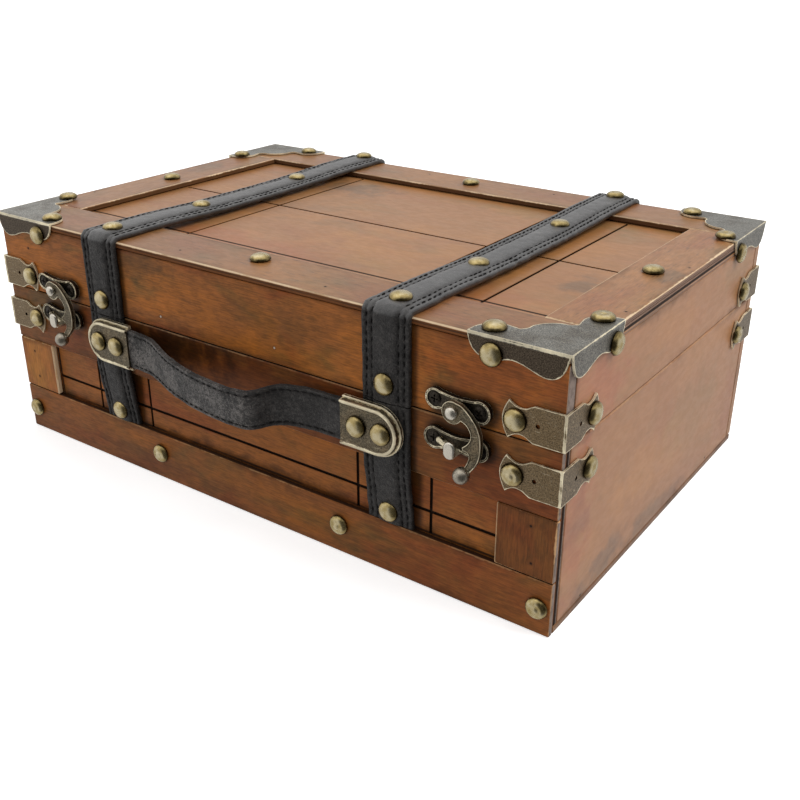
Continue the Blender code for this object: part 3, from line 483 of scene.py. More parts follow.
class Tree:
    """Adds nodes to a node tree. A value may be a socket or a plain number, colour or vector."""

    def __init__(self, tree):
        self.tree = tree

    def add(self, kind, values=None, **settings):
        node = self.tree.nodes.new(kind)
        for key, value in settings.items():
            setattr(node, key, value)
        for key, value in (values or {}).items():
            self.link(value, node.inputs[key])
        return node

    def link(self, value, socket):
        if isinstance(value, bpy.types.NodeSocket):
            self.tree.links.new(value, socket)
        elif hasattr(value, "__len__") and len(value) == 3 and socket.type == "RGBA":
            socket.default_value = (*value, 1.0)
        else:
            socket.default_value = value

    def math(self, operation, a, b=0.0, clamp=False):
        return self.add("ShaderNodeMath", {0: a, 1: b}, operation=operation,
                        use_clamp=clamp).outputs[0]

    def times(self, a, b):
        return self.math("MULTIPLY", a, b)

    def plus(self, a, b, clamp=False):
        return self.math("ADD", a, b, clamp)

    def minus(self, a, b, clamp=False):
        return self.math("SUBTRACT", a, b, clamp)

    def larger(self, a, b):
        return self.math("MAXIMUM", a, b)

    def smaller(self, a, b):
        return self.math("MINIMUM", a, b)

    def apart(self, a, b):
        """How far two numbers lie apart."""
        return self.math("ABSOLUTE", self.minus(a, b))

    def vector(self, operation, a, b=(0, 0, 0)):
        return self.add("ShaderNodeVectorMath", {0: a, 1: b}, operation=operation).outputs[0]

    def measure(self, operation, a, b=(0, 0, 0)):
        """A vector operation that gives a number."""
        return self.add("ShaderNodeVectorMath", {0: a, 1: b}, operation=operation).outputs["Value"]

    def stretch(self, vector, scale):
        return self.vector("MULTIPLY", vector, scale)

    def split(self, vector):
        """The X, Y and Z of a vector."""
        return self.add("ShaderNodeSeparateXYZ", {"Vector": vector}).outputs

    def field(self, name):
        """A number that is stored at the corners of the piece."""
        return self.add("ShaderNodeAttribute", attribute_name=name).outputs["Fac"]

    def mix(self, share, a, b, blend="MIX"):
        node = self.add("ShaderNodeMix", {"Factor": share}, data_type="RGBA", blend_type=blend)
        self.link(a, node.inputs[MIX_A])
        self.link(b, node.inputs[MIX_B])
        return node.outputs[MIX_COLOUR]

    def tint(self, colour, tone):
        """A colour times a tone, channel by channel."""
        return self.mix(1.0, colour, tone, "MULTIPLY")

    def fade(self, value, low, high, into_low=0.0, into_high=1.0):
        node = self.add("ShaderNodeMapRange", {"Value": value, "From Min": low, "From Max": high,
                                               "To Min": into_low, "To Max": into_high},
                        interpolation_type="SMOOTHSTEP")
        return node.outputs["Result"]

    def noise(self, vector, scale, detail=3.0, roughness=0.55, distortion=0.0):
        node = self.add("ShaderNodeTexNoise", {"Vector": vector, "Scale": scale, "Detail": detail,
                                               "Roughness": roughness, "Distortion": distortion})
        return node.outputs["Fac"]

    def group(self, name, **values):
        node = self.tree.nodes.new("ShaderNodeGroup")
        node.node_tree = bpy.data.node_groups[name]
        for key, value in values.items():
            self.link(value, node.inputs[key.replace("_", " ")])
        return node.outputs


def new_group(name, inputs, outputs):
    """An empty node group with named sockets. Gives its tree and its inputs."""
    tree = bpy.data.node_groups.new(name, "ShaderNodeTree")
    for socket, kind in inputs.items():
        tree.interface.new_socket(name=socket, in_out="INPUT", socket_type="NodeSocket" + kind)
    for socket, kind in outputs.items():
        tree.interface.new_socket(name=socket, in_out="OUTPUT", socket_type="NodeSocket" + kind)
    nodes = Tree(tree)
    return nodes, nodes.add("NodeGroupInput").outputs


def close_group(nodes, **values):
    end = nodes.add("NodeGroupOutput")
    for key, value in values.items():
        nodes.link(value, end.inputs[key.replace("_", " ")])


def new_material(name):
    """A material with a Principled BSDF. Gives its tree, its shader and Object coordinates."""
    material = bpy.data.materials.new(name)
    material.use_nodes = True
    nodes = Tree(material.node_tree)
    shader = material.node_tree.nodes["Principled BSDF"]
    place = nodes.add("ShaderNodeTexCoord").outputs["Object"]
    return material, nodes, shader, place


def add_bump(nodes, shader, height, distance, strength=1.0):
    bump = nodes.add("ShaderNodeBump",
                     {"Height": height, "Distance": distance, "Strength": strength})
    nodes.link(bump.outputs["Normal"], shader.inputs["Normal"])


# Shared surface effects

def build_grain_group():
    """Stained wood with its grain along X of the vector it is given."""
    nodes, given = new_group(
        "Stained grain",
        {"Vector": "Vector", "Tone": "Color", "Contrast": "Float", "Flecks": "Float"},
        {"Color": "Color", "Height": "Float", "Streaks": "Float"})
    place = given["Vector"]
    clouds = nodes.noise(nodes.stretch(place, (17.0, 33.0, 33.0)), 1.0, 4.0, 0.55, 0.6)
    smoke = nodes.noise(nodes.stretch(place, (23.0, 47.0, 47.0)), 1.0, 4.0, 0.6, 0.4)
    mottle = nodes.noise(nodes.stretch(place, (190.0, 380.0, 380.0)), 1.0, 4.0, 0.65)
    bands = nodes.noise(nodes.stretch(place, (14.0, 170.0, 170.0)), 1.0, 3.0, 0.6, 0.5)
    fibre = nodes.noise(nodes.stretch(place, (150.0, 1750.0, 1750.0)), 1.0, 3.0, 0.65, 0.3)
    fine = nodes.noise(nodes.stretch(place, (190.0, 3300.0, 3300.0)), 1.0, 2.0, 0.6)
    flecks = nodes.noise(nodes.stretch(place, (130.0, 1100.0, 1100.0)), 1.0, 3.0, 0.6)
    tone = given["Tone"]
    depth = given["Contrast"]
    warm = nodes.tint(tone, (1.32, 1.26, 0.92))
    red = nodes.tint(tone, (0.86, 0.66, 0.72))
    olive = nodes.tint(tone, (0.58, 0.86, 0.95))
    colour = nodes.mix(nodes.times(nodes.fade(clouds, 0.50, 0.34), depth), tone, warm)
    colour = nodes.mix(nodes.times(nodes.fade(clouds, 0.50, 0.68), depth), colour, red)
    colour = nodes.mix(nodes.times(nodes.fade(smoke, 0.50, 0.72, 0.0, 0.9), depth), colour, olive)
    grain = nodes.plus(nodes.fade(fibre, 0.36, 0.64, 0.0, 0.56),
                       nodes.fade(mottle, 0.35, 0.65, 0.0, 0.30))
    grain = nodes.plus(grain, nodes.fade(bands, 0.35, 0.65, 0.0, 0.14))
    darker = nodes.tint(colour, (0.58, 0.64, 0.66))
    lighter = nodes.tint(colour, (1.40, 1.34, 1.20))
    colour = nodes.mix(nodes.times(depth, 0.9), colour, nodes.mix(grain, darker, lighter))
    fleck_share = nodes.times(nodes.fade(flecks, 0.58, 0.70), given["Flecks"])
    colour = nodes.mix(nodes.times(fleck_share, 0.7), colour, nodes.tint(tone, (0.30, 0.34, 0.45)))
    scuff_share = nodes.times(nodes.fade(fibre, 0.60, 0.76), given["Flecks"])
    colour = nodes.mix(nodes.times(scuff_share, 0.35), colour, nodes.tint(tone, (1.9, 2.3, 3.0)))
    height = nodes.plus(nodes.times(fibre, 0.6), nodes.times(fine, 0.4))
    height = nodes.minus(height, nodes.times(fleck_share, 0.5))
    close_group(nodes, Color=colour, Height=height, Streaks=mottle)


def build_edge_group():
    """How near a point of a board lies to the board's edges: a rubbed line and a dark border."""
    nodes, given = new_group(
        "Board edges",
        {"Vector": "Vector", "Low": "Vector", "High": "Vector", "Width": "Float",
         "Amount": "Float"},
        {"Wear": "Float", "Border": "Float"})
    place = given["Vector"]
    inward = nodes.vector("MINIMUM", nodes.vector("SUBTRACT", place, given["Low"]),
                          nodes.vector("SUBTRACT", given["High"], place))
    parts = nodes.split(inward)
    x, y, z = parts[0], parts[1], parts[2]
    low_pair = nodes.smaller(x, y)
    high_pair = nodes.larger(x, y)
    nearest_edge = nodes.larger(low_pair, nodes.smaller(high_pair, z))
    ragged = nodes.noise(place, 700.0, 2.0, 0.6)
    patches = nodes.noise(place, 60.0, 3.0, 0.6)
    reach = nodes.times(given["Width"], nodes.fade(patches, 0.38, 0.62, 0.45, 1.35))
    reach = nodes.times(reach, nodes.fade(ragged, 0.3, 0.7, 0.7, 1.2))
    wear = nodes.fade(nodes.math("DIVIDE", nearest_edge, reach), 1.3, 0.6)
    coverage = nodes.fade(nodes.noise(place, 42.0, 4.0, 0.7), 0.34, 0.52)
    wear = nodes.times(nodes.times(wear, coverage), given["Amount"])
    border = nodes.fade(nodes.times(nearest_edge, nodes.fade(patches, 0.3, 0.7, 1.8, 0.7)),
                        0.0, 5.0 * MM, 1.0, 0.0)
    close_group(nodes, Wear=wear, Border=border)


def build_metal_group():
    """Aged metal: a mottled patina that thins to bright metal along the rims."""
    nodes, given = new_group(
        "Aged metal",
        {"Vector": "Vector", "Rim": "Float", "Stain": "Float", "Polish": "Float", "Patina": "Color",
         "Stained": "Color", "Bright": "Color", "Polished": "Color", "Reach": "Float"},
        {"Color": "Color", "Roughness": "Float", "Metallic": "Float", "Height": "Float"})
    place = given["Vector"]
    speckle = nodes.noise(place, 2200.0, 3.0, 0.7)
    patches = nodes.noise(place, 95.0, 5.0, 0.62, 0.3)
    scratches = nodes.noise(nodes.stretch(place, (260.0, 3600.0, 1500.0)), 1.0, 2.0, 0.6, 0.5)
    crossing = nodes.noise(nodes.stretch(place, (3000.0, 380.0, 700.0)), 1.0, 2.0, 0.6, 0.4)
    ragged = nodes.noise(place, 520.0, 3.0, 0.65)
    stain_and_shade = nodes.larger(nodes.fade(patches, 0.42, 0.66, 0.0, 0.5), given["Stain"])
    colour = nodes.mix(stain_and_shade, given["Patina"], given["Stained"])
    darker = nodes.tint(colour, (0.52, 0.52, 0.54))
    lighter = nodes.tint(colour, (1.62, 1.58, 1.46))
    colour = nodes.mix(nodes.fade(speckle, 0.36, 0.64), darker, lighter)
    marks = nodes.larger(nodes.fade(scratches, 0.62, 0.76), nodes.fade(crossing, 0.64, 0.78))
    clear = nodes.minus(1.0, given["Stain"], True)
    colour = nodes.mix(nodes.times(nodes.times(marks, clear), 0.30), colour, given["Bright"])
    polish = nodes.times(given["Polish"], nodes.fade(speckle, 0.28, 0.55, 0.65, 1.0))
    colour = nodes.mix(polish, colour, given["Polished"])
    reach = nodes.times(given["Reach"], nodes.fade(ragged, 0.34, 0.66, 0.6, 1.35))
    rim = nodes.fade(nodes.math("DIVIDE", given["Rim"], reach), 1.2, 0.6)
    rim = nodes.times(rim, nodes.fade(patches, 0.36, 0.56, 1.0, 0.6))
    colour = nodes.mix(rim, colour, given["Bright"])
    rough = nodes.fade(speckle, 0.3, 0.7, 0.44, 0.34)
    rough = nodes.plus(rough, nodes.times(stain_and_shade, 0.10))
    rough = nodes.minus(rough, nodes.times(polish, 0.14))
    height = nodes.plus(nodes.times(speckle, 0.6), nodes.times(marks, -0.4))
    # Rubbed rims turn partly matte, so their pale worn colour shows in any light: partly a painted
    # highlight.
    metallic = nodes.minus(1.0, nodes.times(rim, 0.6))
    close_group(nodes, Color=colour, Roughness=rough, Metallic=metallic, Height=height)


def build_leather_group():
    """Grained leather with scuffed raised parts and dark, dented seams."""
    nodes, given = new_group(
        "Grained leather",
        {"Vector": "Vector", "Seam": "Float", "Tone": "Color", "Scuffed": "Color",
         "Amount": "Float"},
        {"Color": "Color", "Roughness": "Float", "Height": "Float"})
    place = given["Vector"]
    pebble = nodes.add("ShaderNodeTexVoronoi",
                       {"Vector": place, "Scale": 1000.0, "Randomness": 1.0},
                       feature="DISTANCE_TO_EDGE").outputs["Distance"]
    creases = nodes.noise(place, 460.0, 5.0, 0.66, 0.9)
    blotches = nodes.noise(place, 85.0, 4.0, 0.6)
    scuffs = nodes.noise(place, 1250.0, 3.0, 0.75)
    cracks = nodes.noise(place, 640.0, 3.0, 0.7, 0.8)
    pits = nodes.fade(cracks, 0.50, 0.56, 0.0, 0.9)
    rubbed = nodes.plus(nodes.fade(blotches, 0.36, 0.66, 0.05, 0.5),
                        nodes.fade(scuffs, 0.42, 0.70, -0.1, 0.5))
    share = nodes.times(rubbed, given["Amount"])
    edges = nodes.times(given["Seam"], nodes.fade(scuffs, 0.56, 0.70, 0.0, 0.30))
    share = nodes.plus(share, edges, True)
    dark = nodes.tint(given["Tone"], (0.45, 0.45, 0.45))
    colour = nodes.mix(nodes.fade(creases, 0.36, 0.60), dark, given["Tone"])
    colour = nodes.mix(share, colour, given["Scuffed"])
    seam = nodes.times(given["Seam"], nodes.fade(creases, 0.40, 0.58, 0.0, 1.0))
    hollow = nodes.larger(nodes.times(pits, 0.8), nodes.times(seam, 0.7))
    colour = nodes.mix(hollow, colour, dark)
    rough = nodes.fade(creases, 0.3, 0.7, 0.60, 0.42)
    rough = nodes.plus(rough, nodes.times(given["Seam"], 0.25))
    height = nodes.plus(nodes.times(nodes.fade(pebble, 0.0, 0.25), 0.35), creases)
    height = nodes.minus(height, nodes.times(hollow, 0.6))
    close_group(nodes, Color=colour, Roughness=rough, Height=height)


# Finishes

# A board's finish: the setting that holds its tone, how much light that tone keeps, the axis that
# its grain follows, how strong its grain and its dark flecks are, and how much of its edges is
# rubbed pale.
BOARDS = {
    "front_panel": ("front_colour", 1.05, "x", 0.9, 0.2, 0.0),
    "front_bottom_rail": ("front_colour", 0.93, "x", 0.9, 0.2, 0.45),
    # The top rail's darker tone is partly painted shade from the handle and the lid.
    "front_top_rail": ("front_colour", 0.74, "x", 1.0, 0.2, 0.4),
    "front_left_stile": ("front_colour", 1.28, "z", 0.8, 0.3, 0.9),
    "front_right_stile": ("front_colour", 0.66, "z", 0.9, 0.5, 0.9),
    "lid_front_board": ("front_colour", 1.03, "x", 1.0, 0.2, 0.0),
    "lid_top_panel": ("top_colour", 1.0, "x", 0.35, 0.1, 0.0),
    "top_front_strip": ("top_colour", 0.79, "x", 0.55, 0.9, 1.0),
    "top_back_strip": ("top_colour", 0.80, "x", 0.5, 0.6, 0.9),
    "top_left_strip": ("top_colour", 0.85, "y", 0.5, 0.6, 1.0),
    "top_right_strip": ("top_colour", 0.95, "y", 0.55, 0.8, 1.0),
    "lid_back_board": ("side_colour", 0.9, "x", 0.4, 0.1, 0.0),
    "lid_left_board": ("side_colour", 0.9, "y", 0.4, 0.1, 0.0),
    "lid_right_board": ("side_colour", 1.0, "y", 0.22, 0.1, 0.0),
    "body_back_board": ("side_colour", 0.9, "x", 0.4, 0.1, 0.15),
    "body_left_board": ("side_colour", 0.9, "y", 0.4, 0.1, 0.1),
    "body_right_board": ("side_colour", 1.0, "y", 0.22, 0.1, 0.15),
    "bottom_board": ("side_colour", 0.55, "x", 0.4, 0.2, 0.0),
}
# How much lacquer shows on each kind of board
LACQUER = {"front_colour": 0.06, "top_colour": 0.36, "side_colour": 0.18}
GRAIN_TURNS = {"x": (0, 0, 0), "y": (0, 0, math.pi / 2), "z": (0, math.pi / 2, 0)}
AXES = {"x": 0, "y": 1, "z": 2}

# Lines drawn on a board: axis, place along it, half width, strength, and whether the line is dark.
STRIP_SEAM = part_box("top_front_strip")[1].y
STRIP_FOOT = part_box("top_front_strip")[0].z
SIDE_FOOT = 3.0 * MM
SIDE_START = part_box("body_right_board")[0].y
LINES = {
    "top_front_strip": (("y", STRIP_SEAM - 0.25 * MM, 0.35 * MM, 0.8, False),
                        ("y", FRONT_Y + 0.15 * MM, 0.45 * MM, 0.95, False)),
    "top_right_strip": (("x", HALF_LENGTH - 0.05 * MM, 0.22 * MM, 0.9, False),
                        ("x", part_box("top_right_strip")[0].x + 0.5 * MM, 0.22 * MM, 0.7, False)),
    "top_left_strip": (("x", -HALF_LENGTH + 0.1 * MM, 0.30 * MM, 0.9, False),
                       ("x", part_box("top_left_strip")[1].x - 0.5 * MM, 0.22 * MM, 0.7, False)),
    "top_back_strip": (("y", BACK_Y - 0.1 * MM, 0.30 * MM, 0.9, False),
                       ("y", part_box("top_back_strip")[0].y + 0.4 * MM, 0.25 * MM, 0.6, False)),
    # Painted shadows at the feet of the stiles and of the bottom rail, in the dark wax colour.
    "front_panel": (("x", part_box("front_left_stile")[1].x + 0.6 * MM, 0.7 * MM, 1.0, True),
                    ("x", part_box("front_right_stile")[0].x - 0.5 * MM, 0.4 * MM, 0.8, True),
                    ("z", BOTTOM_RAIL_TOP + 0.4 * MM, 0.5 * MM, 0.9, True)),
    "lid_front_board": (("z", STRIP_FOOT, 0.18 * MM, 0.5, True),),
    "lid_right_board": (("z", STRIP_FOOT - 1.6 * MM, 0.16 * MM, 0.3, True),
                        ("y", SIDE_START + 0.1 * MM, 0.16 * MM, 0.8, True)),
    "lid_left_board": (("z", STRIP_FOOT - 0.3 * MM, 0.30 * MM, 0.6, True),
                       ("y", SIDE_START + 0.1 * MM, 0.16 * MM, 0.8, True)),
    "lid_back_board": (("z", STRIP_FOOT - 0.3 * MM, 0.35 * MM, 0.9, True),),
    "body_right_board": (("z", SIDE_FOOT, 0.25 * MM, 0.8, True),
                         ("y", SIDE_START + 0.1 * MM, 0.16 * MM, 0.8, True)),
    "body_left_board": (("z", SIDE_FOOT, 0.25 * MM, 0.8, True),
                        ("y", SIDE_START + 0.1 * MM, 0.16 * MM, 0.8, True)),
    "body_back_board": (("z", SIDE_FOOT, 0.25 * MM, 0.8, True),),
}

# Stains and two painted shadows: middle and reach in millimetres, tint, and strength.
DARK, RED, GOLD = (0.45, 0.58, 0.80), (0.80, 0.60, 0.66), (1.28, 1.26, 0.92)
# The last of these tints is for painted shadow and shade.
PINK, MOSS, SHADOW_TINT = (1.04, 0.84, 0.90), (0.80, 0.95, 0.95), (0.16, 0.18, 0.22)
STAINS_AND_SHADOWS = {
    "lid_front_board": (((-52, -97.5, 106), (20, 9, 11), DARK, 0.75),
                        ((22, -97.5, 95), (32, 9, 10), DARK, 0.45),
                        ((122, -97.5, 100), (42, 9, 22), RED, 0.60),
                        ((40, -97.5, 82), (50, 9, 8), GOLD, 0.55)),
    "front_top_rail": (((0, -97.5, 64), (64, 9, 22), RED, 0.70),
                       # Painted shadow of the handle on the rail.
                       ((-36, -97.5, 72), (40, 9, 12), SHADOW_TINT, 0.85),),
    # Painted shade along the foot of the sunk panel, above the bottom rail.
    "front_panel": (((0, -94.8, 23), (170, 9, 5.0), SHADOW_TINT, 0.6),),
    "lid_top_panel": (((-50, 52, 109), (24, 15, 9), DARK, 0.65),
                      ((-60, 20, 109), (38, 45, 9), DARK, 0.25),
                      ((118, -24, 109), (9, 14, 9), DARK, 0.70),
                      ((20, -26, 109), (40, 30, 9), GOLD, 0.45),
                      ((-16, -10, 109), (16, 7, 9), DARK, 0.35),
                      ((-40, -60, 109), (60, 16, 9), PINK, 0.7),
                      ((70, 62, 109), (60, 14, 9), MOSS, 0.7),
                      ((90, -60, 109), (30, 16, 9), PINK, 0.6),
                      ((30, -52, 109), (30, 14, 9), MOSS, 0.4)),
    "top_right_strip": (((143, -3, 112), (7, 15, 9), DARK, 0.70),
                        ((138, 60, 112), (9, 24, 9), RED, 0.5)),
    "top_left_strip": (((-139, -70, 112), (16, 18, 9), RED, 0.55),
                       ((-141, 30, 112), (8, 20, 9), DARK, 0.4)),
    "top_front_strip": (((-110, -86, 112), (34, 14, 9), RED, 0.45),
                        ((70, -88, 112), (30, 12, 9), RED, 0.4)),
    "body_right_board": (((150, -52, 9), (9, 28, 9), DARK, 0.60),
                         ((150, 0, 7), (9, 46, 6), DARK, 0.50),
                         ((150, -81, 40), (9, 10, 14), DARK, 0.30),
                         ((150, 84, 25), (9, 14, 30), RED, 0.35),
                         ((150, -84, 50), (9, 16, 40), PINK, 0.9),
                         ((150, 30, 44), (9, 40, 20), MOSS, 0.45),
                         ((150, -20, 36), (9, 34, 16), GOLD, 0.35)),
    "lid_right_board": (((150, 0, 108.8), (9, 130, 4.0), (0.62, 0.72, 0.86), 0.6),
                        ((150, 70, 96), (9, 26, 10), MOSS, 0.6),
                        ((150, -70, 92), (9, 26, 18), PINK, 0.9),
                        ((150, 0, 92), (9, 34, 9), GOLD, 0.3)),
    "body_left_board": (((-150, 30, 9), (9, 40, 9), DARK, 0.55),
                        ((-150, -60, 20), (9, 26, 14), DARK, 0.35)),
    "lid_left_board": (((-150, 0, 109.5), (9, 120, 2.6), DARK, 0.75),),
    "body_back_board": (((60, 97.5, 12), (46, 9, 9), DARK, 0.50),
                        ((-90, 97.5, 50), (30, 9, 16), DARK, 0.30)),
    "lid_back_board": (((-30, 97.5, 104), (50, 9, 7), DARK, 0.45),),
    "front_bottom_rail": (((128, -97.5, 16), (26, 9, 12), RED, 0.45),
                          ((-60, -97.5, 8), (50, 9, 7), DARK, 0.35),
                          ((30, -97.5, 14), (50, 9, 7), GOLD, 0.4)),
    "front_left_stile": (((-140, -97.5, 36), (14, 9, 16), (1.12, 1.30, 1.05), 1.0),),
}

# Painted shadows round the pieces that stand on a board: middle and half size of a rectangle, how
# far out the painted shadow is full and where it ends, all in millimetres, and its strength.
PAINTED_SHADOWS = {
    "lid_front_board": ((110.2, 83.3, 9.3, 0, 4.2, 8.0, 0.90),
                        (-110.2, 83.3, 9.3, 0, 3.8, 7.4, 0.85),
                        (78.9, 92, 10.7, 60, 0, 2.4, 0.85), (-77.1, 92, 10.7, 60, 0, 2.4, 0.85)),
    "front_top_rail": ((110.2, 69.5, 9.3, 0, 4.2, 8.0, 0.90),
                       (-110.2, 69.5, 9.3, 0, 3.8, 7.4, 0.85),
                       (78.9, 60, 10.7, 60, 0, 2.6, 0.85), (-77.1, 60, 10.7, 60, 0, 2.6, 0.85)),
    "front_panel": ((79.3, 37, 10.7, 60, 0, 3.2, 0.85), (-76.7, 37, 10.7, 60, 0, 3.2, 0.85)),
}

# Brad holes: places, and whether they are filled pale.
BRADS = {
    "lid_front_board": ((-43.8, -97.5, 83.1, True), (21.7, -97.5, 84.3, True),
                        (-132.0, -97.5, 98.0, False)),
    "front_right_stile": ((139.8, -97.5, 44.8, False), (140.8, -97.5, 29.4, False)),
    "front_left_stile": ((-140.2, -97.5, 43.6, False), (-139.4, -97.5, 30.2, False)),
    "top_front_strip": ((-36.8, -89.2, 112.0, False), (42.6, -89.8, 112.0, False)),
    "top_back_strip": ((-30.4, 90.1, 112.0, False), (46.2, 89.4, 112.0, False)),
    "top_right_strip": ((146.9, -48.3, 112.0, False), (146.8, 13.6, 112.0, False)),
    "top_left_strip": ((-146.8, -44.1, 112.0, False), (-147.1, 21.4, 112.0, False)),
    "lid_right_board": ((150.0, 2.2, 106.8, False),),
    "body_right_board": ((150.0, -72.3, 4.4, False), (150.0, 61.0, 5.2, False)),
    "front_panel": ((150.0, -94.7, 36.3, False),),
}


def line_mask(nodes, coordinate, at, half_width):
    away = nodes.apart(coordinate, at)
    return nodes.fade(away, half_width * 1.35, half_width * 0.6)


def groove_mask(nodes, parts, name):
    """Where a board's scored grooves lie below its face."""
    if name == "lid_top_panel":
        depth = nodes.minus(PANEL_TOP, parts[2])
    else:
        depth = nodes.minus(parts[1], PANEL_FRONT)
    return nodes.times(nodes.fade(depth, 0.1 * MM, 0.4 * MM), nodes.fade(depth, 1.8 * MM, 1.4 * MM))


def inside_mask(nodes, place):
    """Where a board faces the inside of the case."""
    low = Vector((-HALF_LENGTH, FRONT_Y, 0))
    high = Vector((HALF_LENGTH, BACK_Y, CASE_TOP))
    inward = nodes.vector("MINIMUM", nodes.vector("SUBTRACT", place, low),
                          nodes.vector("SUBTRACT", high, place))
    parts = nodes.split(inward)
    depth = nodes.smaller(nodes.smaller(parts[0], parts[1]), parts[2])
    return nodes.fade(depth, 5.3 * MM, 5.5 * MM)


def grain_offset(name):
    """A fixed place in the grain for each board, so that no two look alike."""
    total = sum((index + 1) * ord(letter) for index, letter in enumerate(name))
    return Vector((total % 97, total * 7 % 89, total * 3 % 83)) * 0.031


def add_stains_and_shadows(nodes, place, colour, stains):
    """Soft-edged stains and painted shadows with ragged outlines."""
    ragged = nodes.noise(place, 95.0, 4.0, 0.6)
    for middle, reach, tint, strength in stains:
        offset = nodes.vector("DIVIDE", nodes.vector("SUBTRACT", place, Vector(middle) * MM),
                              Vector(reach) * MM)
        away = nodes.measure("LENGTH", offset)
        away = nodes.plus(away, nodes.fade(ragged, 0.3, 0.7, -0.4, 0.4))
        share = nodes.fade(away, 1.15, 0.25, 0.0, strength)
        colour = nodes.mix(share, colour, nodes.tint(colour, tint))
    return colour


def add_painted_shadows(nodes, parts, colour, patches):
    """Painted shadows: soft dark borders round the pieces that stand on a board."""
    for x, z, half_x, half_z, full, end, strength in patches:
        out = []
        for part, middle, half in ((parts[0], x, half_x), (parts[2], z, half_z)):
            away = nodes.apart(part, middle * MM)
            away = nodes.larger(nodes.minus(away, half * MM), 0.0)
            out.append(nodes.times(away, away))
        away = nodes.math("SQRT", nodes.plus(*out))
        share = nodes.fade(away, end * MM, full * MM, 0.0, strength)
        colour = nodes.mix(share, colour, nodes.tint(colour, SHADOW_TINT))
    return colour


# The line of wax on a top strip's side, as (depth below the top, half its width), for the strips at
# the ends (True) and along the front and back (False)
FLANK_SEAMS = {True: (1.6 * MM, 0.16 * MM), False: (1.25 * MM, 0.36 * MM)}
# How plainly the worn inner edge of each stile shows
STILE_WEAR = {"front_left_stile": 0.95, "front_right_stile": 0.4}
BRAD_PALE = (0.50, 0.44, 0.36)


class Layers:
    """A board's colour and its dull places, built up one layer at a time."""

    def __init__(self, nodes, colour, dull):
        self.nodes, self.colour, self.dull = nodes, colour, dull

    def lay(self, mask, colour, dull=True):
        self.colour = self.nodes.mix(mask, self.colour, colour)
        if dull:
            self.dull = self.nodes.larger(self.dull, mask)


def strip_flanks(nodes, parts, name, wood, grain, smudges):
    """The sides of a top strip: their mask, their colour, and how far its worn edges reach down."""
    lengthwise = name in ("top_left_strip", "top_right_strip")
    coordinate, edge = (parts[0], HALF_LENGTH) if lengthwise else (parts[1], BACK_Y)
    outer = nodes.fade(nodes.math("ABSOLUTE", coordinate), edge - 1.2 * MM, edge - 0.8 * MM)
    wall = Vector(wood.front_colour) * 0.75
    if lengthwise:
        wall = Vector(wood.side_colour).lerp(wood.end_colour, 0.6)
    # The inner sides, which face the sunk panel, are made dark: painted shade on the walls of the
    # recess.
    wall = nodes.mix(outer, Vector(wood.top_colour) * 0.40, wall)
    wall = nodes.mix(nodes.fade(grain["Height"], 0.42, 0.66),
                     nodes.tint(wall, (0.72, 0.72, 0.74)), wall)
    depth = nodes.minus(CASE_TOP, parts[2])
    seams = nodes.times(line_mask(nodes, depth, *FLANK_SEAMS[lengthwise]), outer)
    seams = nodes.times(seams, nodes.fade(smudges, 0.36, 0.54, 0.35, 0.6))
    wall = nodes.mix(seams, wall, wood.wax_and_shade_colour)
    return nodes.fade(depth, 0.35 * MM, 0.65 * MM), wall, nodes.fade(depth, 0.9 * MM, 0.6 * MM)


def rail_ledge(nodes, parts, top):
    """Darkens the upper face of a front rail, back from its front edge."""
    return nodes.times(nodes.fade(parts[2], top - 0.16 * MM, top - 0.06 * MM),
                       nodes.fade(parts[1], FRONT_Y + 0.02 * MM, FRONT_Y + 0.2 * MM, 0.0, 0.9))


def cut_ends(nodes, parts, wood, grain):
    """The cut ends of the front boards: their mask and their colour."""
    ends = nodes.fade(nodes.math("ABSOLUTE", parts[0]), HALF_LENGTH - 0.35 * MM,
                      HALF_LENGTH - 0.15 * MM)
    grey = nodes.mix(nodes.fade(grain["Streaks"], 0.42, 0.66, 0.0, 0.4), wood.end_colour,
                     wood.wax_and_shade_colour)
    front = nodes.fade(parts[1], FRONT_Y + 0.45 * MM, FRONT_Y + 0.15 * MM, 0.0, 0.5)
    return ends, nodes.mix(front, grey, wood.worn_colour)


def finish_surface(nodes, shader, look, grain, setting):
    """Gives the board its colour, its lacquer, and the relief of its grain."""
    nodes.link(look.colour, shader.inputs["Base Color"])
    rough = nodes.fade(grain["Streaks"], 0.35, 0.65, 0.46, 0.38)
    nodes.link(nodes.plus(rough, nodes.times(look.dull, 0.35)), shader.inputs["Roughness"])
    nodes.link(nodes.times(nodes.minus(1.0, look.dull, True), LACQUER[setting]),
               shader.inputs["Coat Weight"])
    shader.inputs["Specular IOR Level"].default_value = 0.12 if setting == "front_colour" else 0.25
    shader.inputs["Coat Roughness"].default_value = 0.32
    add_bump(nodes, shader, grain["Height"], 0.045 * MM, 0.8)


